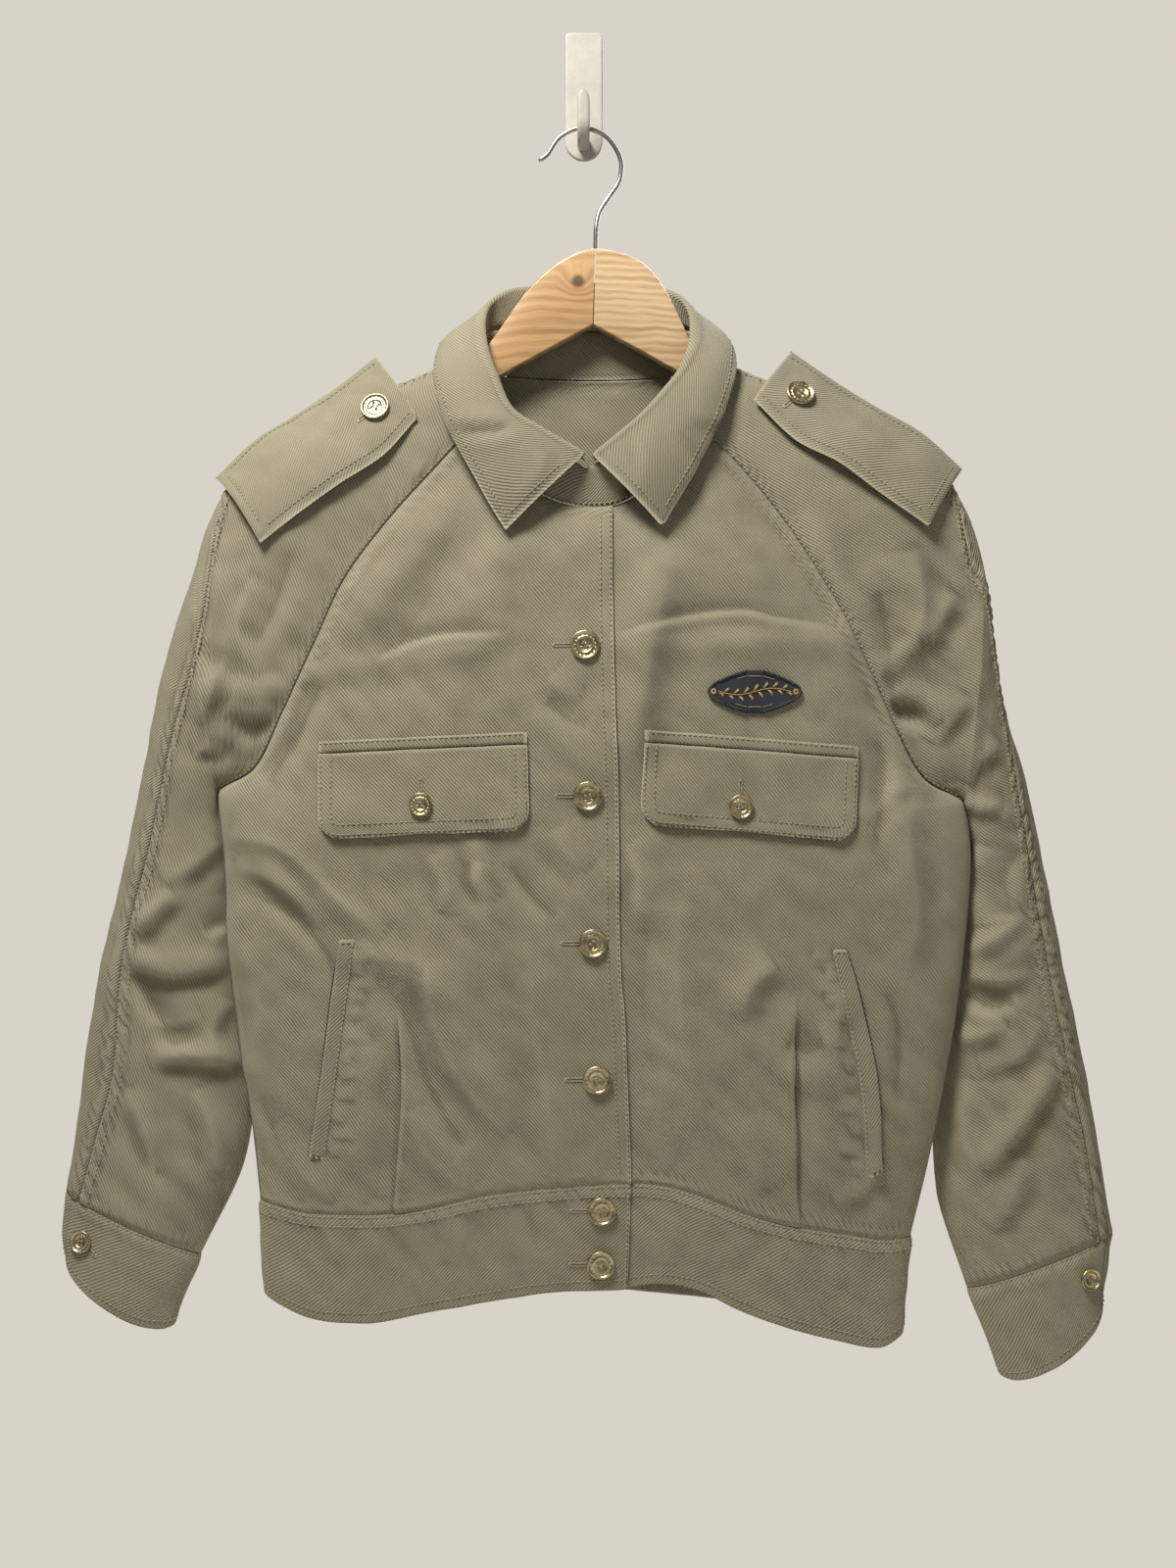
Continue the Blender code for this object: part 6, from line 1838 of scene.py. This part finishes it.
class JACKET_OT_stitching(bpy.types.Operator):
    """Sew the seams, edges and buttonholes"""
    bl_idname = "jacket.stitching"
    bl_label = "Stitching and Buttonholes"

    def execute(self, context):
        light = thread_material("khaki_thread", context.scene.jacket_trim.thread_colour)
        # Painted shadow: near-black strips laid beside the pocket welts and along the pleats' folds
        shade = thread_material("shaded_gap", (0.030, 0.026, 0.016), rough=0.95)
        sides = (("right", WELT_RIGHT, PLEAT_RIGHT, FLAP_RIGHT), ("left", WELT_LEFT, PLEAT_LEFT, FLAP_LEFT))
        for word, welt, pleat, _ in sides:
            outward = -0.5 if word == "right" else 0.5
            edge = [at(numbered(welt, 3), k / 12)[:2] for k in range(13)]
            painted_shadow_strip("pocket_shadow_strip_" + word, "front_" + word, [(x + outward, z) for x, z in edge], 1.5, shade)
            fold = [(at(pleat, -z)[0], z) for z in (-618, -640, -665, -690, -715, -737)]
            painted_shadow_strip("pleat_shadow_strip_" + word, "front_" + word, fold, 1.3, shade)
        sew("stitches_front_edge", inset_lines("front_right", ("r", 1.5), ("r", 8.0)), light)
        raglan = (0.0, UPPER_ROWS / (UPPER_ROWS + SLEEVE_LOWER_ROWS))
        for word, welt, _, corners in sides:
            fore, rear = "sleeve_front_" + word, "sleeve_back_" + word
            strap, flap = "epaulette_" + word, "flap_" + word
            sew("stitches_raglan_" + word, inset_lines(fore, ("l", 1.7), span=raglan)
                + inset_lines(rear, ("r", 1.7), span=raglan), light)
            sew("stitches_overarm_" + word, inset_lines(fore, ("r", 1.8), ("r", 7.4)), light)
            sew("stitches_cuff_" + word, inset_lines("cuff_" + word, ("t", 1.7), ("b", 6.5)), light)
            sew("stitches_epaulette_" + word, inset_lines(strap, ("l", 7.0), ("r", 7.0), stop=7)
                + inset_lines(strap, ("b", 7.0), start=7, stop=7), light)
            rims = [seen_line(flap, flap_line(corners, inset)) for inset in (1.6, 8.0)]
            sew("stitches_flap_" + word, rims, light)
            (ax, az), (bx, bz), _, _ = corners
            row = [(mix(ax, bx, k / 20), mix(az, bz, k / 20) + 6.7) for k in range(21)]
            sew("stitches_flap_welt_" + word, [seen_line("flap_welt_" + word, row)], light)
            rims = [seen_line("pocket_welt_" + word, line) for line in welt_lines(welt)]
            sew("stitches_pocket_" + word, rims, light)
        sew("stitches_band", inset_lines("waistband", ("t", 7.6), ("b", 7.6), ("t", 1.6), ("l", 1.6)), light)
        sew("stitches_collar", inset_lines("collar_fall", ("b", 6.0), start=6, stop=6)
            + inset_lines("collar_fall", ("l", 6.0), ("r", 6.0), span=(0.5, 1.0), stop=6), light)
        sew("stitches_stand", inset_lines("collar_stand", ("t", 1.6)), light)
        for name, x, z, radius, node in BUTTONS:
            if name.startswith("button_flap"):
                spot = (x, z + radius + 8.5, -90, radius + 6)
            elif name.startswith("button_epaulette"):
                spot = (x - 10.5, z - 9.0, 41, radius + 4)
            elif name.startswith("button_cuff"):
                spot = (x + 9.5, z - 9.0, 137, radius + 4)
            else:
                spot = (x - radius - 10.5, z, 0, radius + 8)
            buttonhole(name.replace("button", "buttonhole"), node, *spot, light)
        return {"FINISHED"}


# Hanger and wall hook
def loft(name, node, sections, material, grain=None):
    """A closed body through rings of places in mm."""
    count = len(sections[0])
    verts = [p for ring in sections for p in ring]
    faces = []
    for i in range(len(sections) - 1):
        for k in range(count):
            m = (k + 1) % count
            faces.append((i * count + k, i * count + m, (i + 1) * count + m, (i + 1) * count + k))
    faces.append(tuple(range(count - 1, -1, -1)))
    top = (len(sections) - 1) * count
    faces.append(tuple(top + k for k in range(count)))
    volume = 0.0
    for f in faces:
        for k in range(1, len(f) - 1):
            volume += verts[f[0]].dot(verts[f[k]].cross(verts[f[k + 1]]))
    if volume < 0:
        faces = [tuple(reversed(f)) for f in faces]
    piece = new_object(name, [v * MM for v in verts], faces, material)
    if grain:
        put_values(piece, "grain", "FLOAT_VECTOR", [grain(v) for v in verts])
    piece.data.set_sharp_from_angle(angle=math.radians(48))
    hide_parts(node)


class JACKET_OT_hanger(bpy.types.Operator):
    """Build the hanger's two wooden halves and its bent wire"""
    bl_idname = "jacket.hanger"
    bl_label = "Hanger"

    def execute(self, context):
        looks = context.scene.jacket_hanger
        light, dark = looks.wood_colour, looks.wood_grain_colour
        browner = [c * s for c, s in zip(light, (0.86, 0.74, 0.60))]
        brown = wood_material("beech_brown", browner, dark, 1, 900.0, knot=(-0.004, -0.131))
        pale = wood_material("beech_pale", light, dark, 5, 1300.0)
        for word, table, shift, wood in (("right", ARM_RIGHT, -0.15, brown), ("left", ARM_LEFT, 0.15, pale)):
            keyed = numbered(table)
            sections = []
            steps = 6 * (len(table) - 1)
            for k in range(steps + 1):
                ux, uz, lx, lz = at(keyed, k / 6)
                upper, lower = Vector((ux, 0, uz)), Vector((lx, 0, lz))
                down = (lower - upper).normalized()
                half = ARM_THICK / 2
                tip = max(k - (steps - 4), 0) / 4
                bevel = UPPER_BEVEL
                if k:
                    half *= math.sqrt(1 - 0.75 * tip * tip)
                    bevel = min(bevel, half * 0.9)
                move = Vector((shift if k == 0 else 0, -ARM_DEPTH, 0))
                ring = []
                corners = ((upper, 1, bevel, 1), (upper, 1, bevel, -1),
                           (lower, -1, LOWER_BEVEL, -1), (lower, -1, LOWER_BEVEL, 1))
                for centre, inward, radius, face in corners:
                    radius = min(radius, half * 0.9)
                    base = centre + down * inward * radius + Vector((0, face * (half - radius), 0))
                    first, second = Vector((0, face, 0)), -down * inward
                    if face * inward < 0:
                        first, second = second, first
                    for m in range(5):
                        a = math.pi * m / 8
                        ring.append(base + (first * math.cos(a) + second * math.sin(a)) * radius)
                sections.append([p + move for p in ring])
            loft("beech_arm_" + word, "hanger_arm_" + word, sections, wood,
                 grain=lambda v: (v.x * MM, v.z * MM, v.y * MM))
        steel = metal_material("drawn_wire", looks.wire_colour, shaded(looks.wire_colour, 0.6), 0.30, 60.0)
        path = [point(*at(numbered(WIRE), k / 6)) for k in range(6 * (len(WIRE) - 1) + 1)]
        sections = []
        for k, p in enumerate(path):
            along = (path[min(k + 1, len(path) - 1)] - path[max(k - 1, 0)]).normalized()
            a = along.cross(Vector((0, 1, 0))).normalized()
            b = along.cross(a).normalized()
            r = WIRE_RADIUS * (0.55 if k == 0 else 0.9 if k == 1 else 1.0)
            sections.append([p + (a * math.cos(math.pi * m / 8) + b * math.sin(math.pi * m / 8)) * r
                             for m in range(16)])
        loft("steel_wire", "hanger_hook", sections, steel)
        return {"FINISHED"}


class JACKET_OT_wall_hook(bpy.types.Operator):
    """Build the painted wall hook"""
    bl_idname = "jacket.wall_hook"
    bl_label = "Wall Hook"

    def execute(self, context):
        coat = context.scene.jacket_hanger.paint_colour
        paint = metal_material("cream_paint", coat, shaded(coat, 0.80), 0.40, 35.0, metallic=0.0,
                               bump_height=0.0002)
        half = PLATE_WIDTH / 2
        foot = PLATE_FOOT + half
        outline = [(-half + 2, PLATE_TOP), (half - 2, PLATE_TOP), (half - 0.6, PLATE_TOP - 0.6),
                   (half, PLATE_TOP - 2)]
        outline += [(half, mix(PLATE_TOP - 2, foot, k / 8)) for k in range(1, 8)]
        turns = [math.pi * k / 40 for k in range(41)]
        outline += [(half * math.cos(a), foot - half * math.sin(a)) for a in turns]
        outline += [(-half, mix(foot, PLATE_TOP - 2, k / 8)) for k in range(1, 9)]
        outline.append((-half + 0.6, PLATE_TOP - 0.6))
        sections = []
        for depth, inset in ((0.0, 0.0), (2.1, 0.0), (2.5, 0.15), (2.8, 0.5), (2.95, 0.9), (3.0, 1.5)):
            ring = []
            for x, z in outline:
                away = Vector((x, 0, z - max(min(z, PLATE_TOP - 10), foot))).normalized()
                ring.append(point(x, z, depth) - away * inset)
            sections.append(ring)
        loft("painted_plate", "wall_hook_plate", sections, paint)
        keyed = numbered(PEG)
        last = len(PEG) - 1
        sections = []
        for k in range(8 * last + 1):
            depth, z, thick = at(keyed, k / 8)
            d0, z0, _ = at(keyed, max(k / 8 - 0.1, 0))
            d1, z1, _ = at(keyed, min(k / 8 + 0.1, last))
            along = Vector((0, -(d1 - d0), z1 - z0)).normalized()
            across = along.cross(Vector((1, 0, 0))).normalized()
            end = max(k - (8 * last - 4), 0) / 4
            shrink = math.sqrt(1 - 0.8 * end * end)
            ring = []
            for m in range(24):
                a = 2 * math.pi * m / 24
                c, s = math.cos(a), math.sin(a)
                c, s = math.copysign(abs(c) ** 0.62, c), math.copysign(abs(s) ** 0.62, s)
                sideways = Vector((c * PEG_WIDTH / 2 * shrink, 0, 0))
                ring.append(point(-0.3, z, depth) + sideways + across * s * thick * 0.94)
            sections.append(ring)
        loft("painted_peg", "wall_hook_peg", sections, paint)
        return {"FINISHED"}


# Stage, in metres; the lens in mm
FLOOR_Z = -1.3
CAMERA_DISTANCE = 1.3
LENS = 43.98


def area_light(name, place, target, power, size, colour):
    light = bpy.data.lights.new(name, "AREA")
    light.energy = power
    light.size = size
    light.color = colour
    lamp = bpy.data.objects.new(name, light)
    lamp.location = place
    lamp.rotation_euler = (Vector(target) - Vector(place)).to_track_quat("-Z", "Y").to_euler()
    bpy.context.scene.collection.objects.link(lamp)
    return lamp


class JACKET_OT_stage(bpy.types.Operator):
    """Lay the floor and set the light and the camera"""
    bl_idname = "jacket.stage"
    bl_label = "Stage"

    def execute(self, context):
        scene = context.scene
        stage = scene.jacket_stage
        mesh = bpy.data.meshes.new("floor")
        corners = [(x, y, FLOOR_Z) for x, y in ((-1.6, -2.2), (1.6, -2.2), (1.6, 0.6), (-1.6, 0.6))]
        mesh.from_pydata(corners, [], [(0, 1, 2, 3)])
        floor = bpy.data.objects.new("floor", mesh)
        scene.collection.objects.link(floor)
        material, _, shader = new_material("floor_plain")
        shader.inputs["Base Color"].default_value = (*stage.floor_colour, 1.0)
        shader.inputs["Roughness"].default_value = 0.8
        mesh.materials.append(material)
        world = bpy.data.worlds.new("studio")
        world.use_nodes = True
        back = world.node_tree.nodes["Background"]
        back.inputs["Color"].default_value = (*stage.background_colour, 1.0)
        seen = put(world.node_tree, "ShaderNodeLightPath").outputs["Is Camera Ray"]
        strength = put(world.node_tree, "ShaderNodeMapRange",
                       {"Value": seen, "To Min": stage.ambient_strength, "To Max": stage.background_strength})
        world.node_tree.links.new(strength.outputs[0], back.inputs["Strength"])
        scene.world = world
        key = area_light("key_light", (-0.45, -0.72, 0.85), (0, -0.03, -0.45), stage.key_power, 0.45,
                         (1.0, 0.98, 0.94))
        fill = area_light("fill_light", (1.5, -1.6, 0.1), (0, -0.03, -0.5), stage.fill_power, 1.4,
                          (0.95, 0.97, 1.0))
        rear = area_light("rear_light", (0.5, 1.3, 0.5), (0, 0, -0.45), stage.rear_power, 1.4,
                          (1.0, 0.98, 0.95))
        camera = bpy.data.objects.new("camera", bpy.data.cameras.new("camera"))
        camera.data.lens = LENS
        camera.data.sensor_width = 36.0
        camera.location = (PHOTO_CENTRE_MM[0] * MM, -CAMERA_DISTANCE, PHOTO_CENTRE_MM[1] * MM)
        camera.rotation_euler = (math.radians(90), 0, 0)
        scene.collection.objects.link(camera)
        scene.camera = camera
        scene.view_settings.view_transform = "Standard"
        return {"FINISHED"}


# Settings
def colour(name, description, default):
    return FloatVectorProperty(name=name, description=description, subtype="COLOR", size=3, min=0.0, max=1.0,
                               default=default)


def length(name, description, default):
    return FloatProperty(name=name, description=description, default=default, precision=5, unit="LENGTH")


def power(name, description, default):
    return FloatProperty(name=name, description=description, default=default, unit="POWER")


class ClothSettings(bpy.types.PropertyGroup):
    thickness: length("Thickness", "Thickness of the twill", 0.0015)
    folded_thickness: length("Folded Thickness", "Thickness of folded strips and flaps", 0.0022)
    rib_pitch: length("Rib Pitch", "Distance between the ribs of the twill", 0.00176)
    rib_relief: length("Rib Relief", "Depth between the ribs", 0.00055)
    face_colour: colour("Face", "Colour of the ribs", (0.375, 0.337, 0.226))
    # The ground between the ribs is painted shade in the twill's grooves
    shadow_colour: colour("Ground", "Colour between the ribs", (0.088, 0.076, 0.045))
    # Worn colour: faded and rubbed places, and the painted highlight on the ridges of folds
    worn_and_highlight_colour: colour("Worn", "Colour of faded and rubbed places", (0.455, 0.420, 0.305))


class TrimSettings(bpy.types.PropertyGroup):
    stitch_length: length("Stitch Length", "Length of one stitch", 0.0027)
    thread_width: length("Thread Width", "Thickness of the thread", 0.00078)
    thread_colour: colour("Thread", "Colour of the stitching", (0.40, 0.360, 0.250))
    brass_colour: colour("Brass", "Colour of the buttons", (0.66, 0.57, 0.34))
    patch_colour: colour("Patch", "Colour of the chest patch", (0.030, 0.034, 0.050))
    gold_colour: colour("Gold", "Colour of the patch's stitching", (0.55, 0.36, 0.12))


class HangerSettings(bpy.types.PropertyGroup):
    wood_colour: colour("Wood", "Colour of the paler half", (0.76, 0.55, 0.32))
    wood_grain_colour: colour("Grain", "Colour of the wood's grain", (0.27, 0.135, 0.055))
    wire_colour: colour("Wire", "Colour of the wire hook", (0.55, 0.53, 0.50))
    paint_colour: colour("Paint", "Colour of the wall hook", (0.54, 0.515, 0.45))


class StageSettings(bpy.types.PropertyGroup):
    floor_colour: colour("Floor", "Colour of the floor", (0.86, 0.84, 0.80))
    background_colour: colour("Background", "Colour behind the jacket", (0.80, 0.755, 0.68))
    background_strength: FloatProperty(name="Background Strength", description="Brightness behind the jacket",
                                       default=0.86)
    ambient_strength: FloatProperty(name="Ambient Strength", description="Light from all round", default=0.17)
    key_power: power("Key Light", "Power of the light from the upper left", 33.0)
    fill_power: power("Fill Light", "Power of the light from the right", 4.0)
    rear_power: power("Rear Light", "Power of the light from behind", 34.0)


class JACKET_PT_panel(bpy.types.Panel):
    bl_label = "Jacket"
    bl_idname = "JACKET_PT_panel"
    bl_space_type = "VIEW_3D"
    bl_region_type = "UI"
    bl_category = "Jacket"

    def draw(self, context):
        scene = context.scene
        for settings in (scene.jacket_cloth, scene.jacket_trim, scene.jacket_hanger, scene.jacket_stage):
            box = self.layout.box()
            for key in settings.__annotations__:
                box.prop(settings, key)
        for step in STEPS:
            self.layout.operator(step.bl_idname)


STEPS = (JACKET_OT_body, JACKET_OT_sleeves, JACKET_OT_bands, JACKET_OT_collar, JACKET_OT_epaulettes,
         JACKET_OT_pockets, JACKET_OT_patch, JACKET_OT_buttons, JACKET_OT_stitching, JACKET_OT_hanger,
         JACKET_OT_wall_hook, JACKET_OT_stage)
SETTINGS = (("jacket_cloth", ClothSettings), ("jacket_trim", TrimSettings), ("jacket_hanger", HangerSettings),
            ("jacket_stage", StageSettings))


def register():
    for name, kind in SETTINGS:
        bpy.utils.register_class(kind)
        setattr(bpy.types.Scene, name, PointerProperty(type=kind))
    for kind in STEPS + (JACKET_PT_panel,):
        bpy.utils.register_class(kind)


def unregister():
    for kind in reversed(STEPS + (JACKET_PT_panel,)):
        bpy.utils.unregister_class(kind)
    for name, kind in reversed(SETTINGS):
        delattr(bpy.types.Scene, name)
        bpy.utils.unregister_class(kind)


def main():
    register()
    bpy.ops.jacket.body()
    bpy.ops.jacket.sleeves()
    bpy.ops.jacket.bands()
    bpy.ops.jacket.collar()
    bpy.ops.jacket.epaulettes()
    bpy.ops.jacket.pockets()
    bpy.ops.jacket.patch()
    bpy.ops.jacket.buttons()
    bpy.ops.jacket.stitching()
    bpy.ops.jacket.hanger()
    bpy.ops.jacket.wall_hook()
    bpy.ops.jacket.stage()


if __name__ == "__main__":
    main()
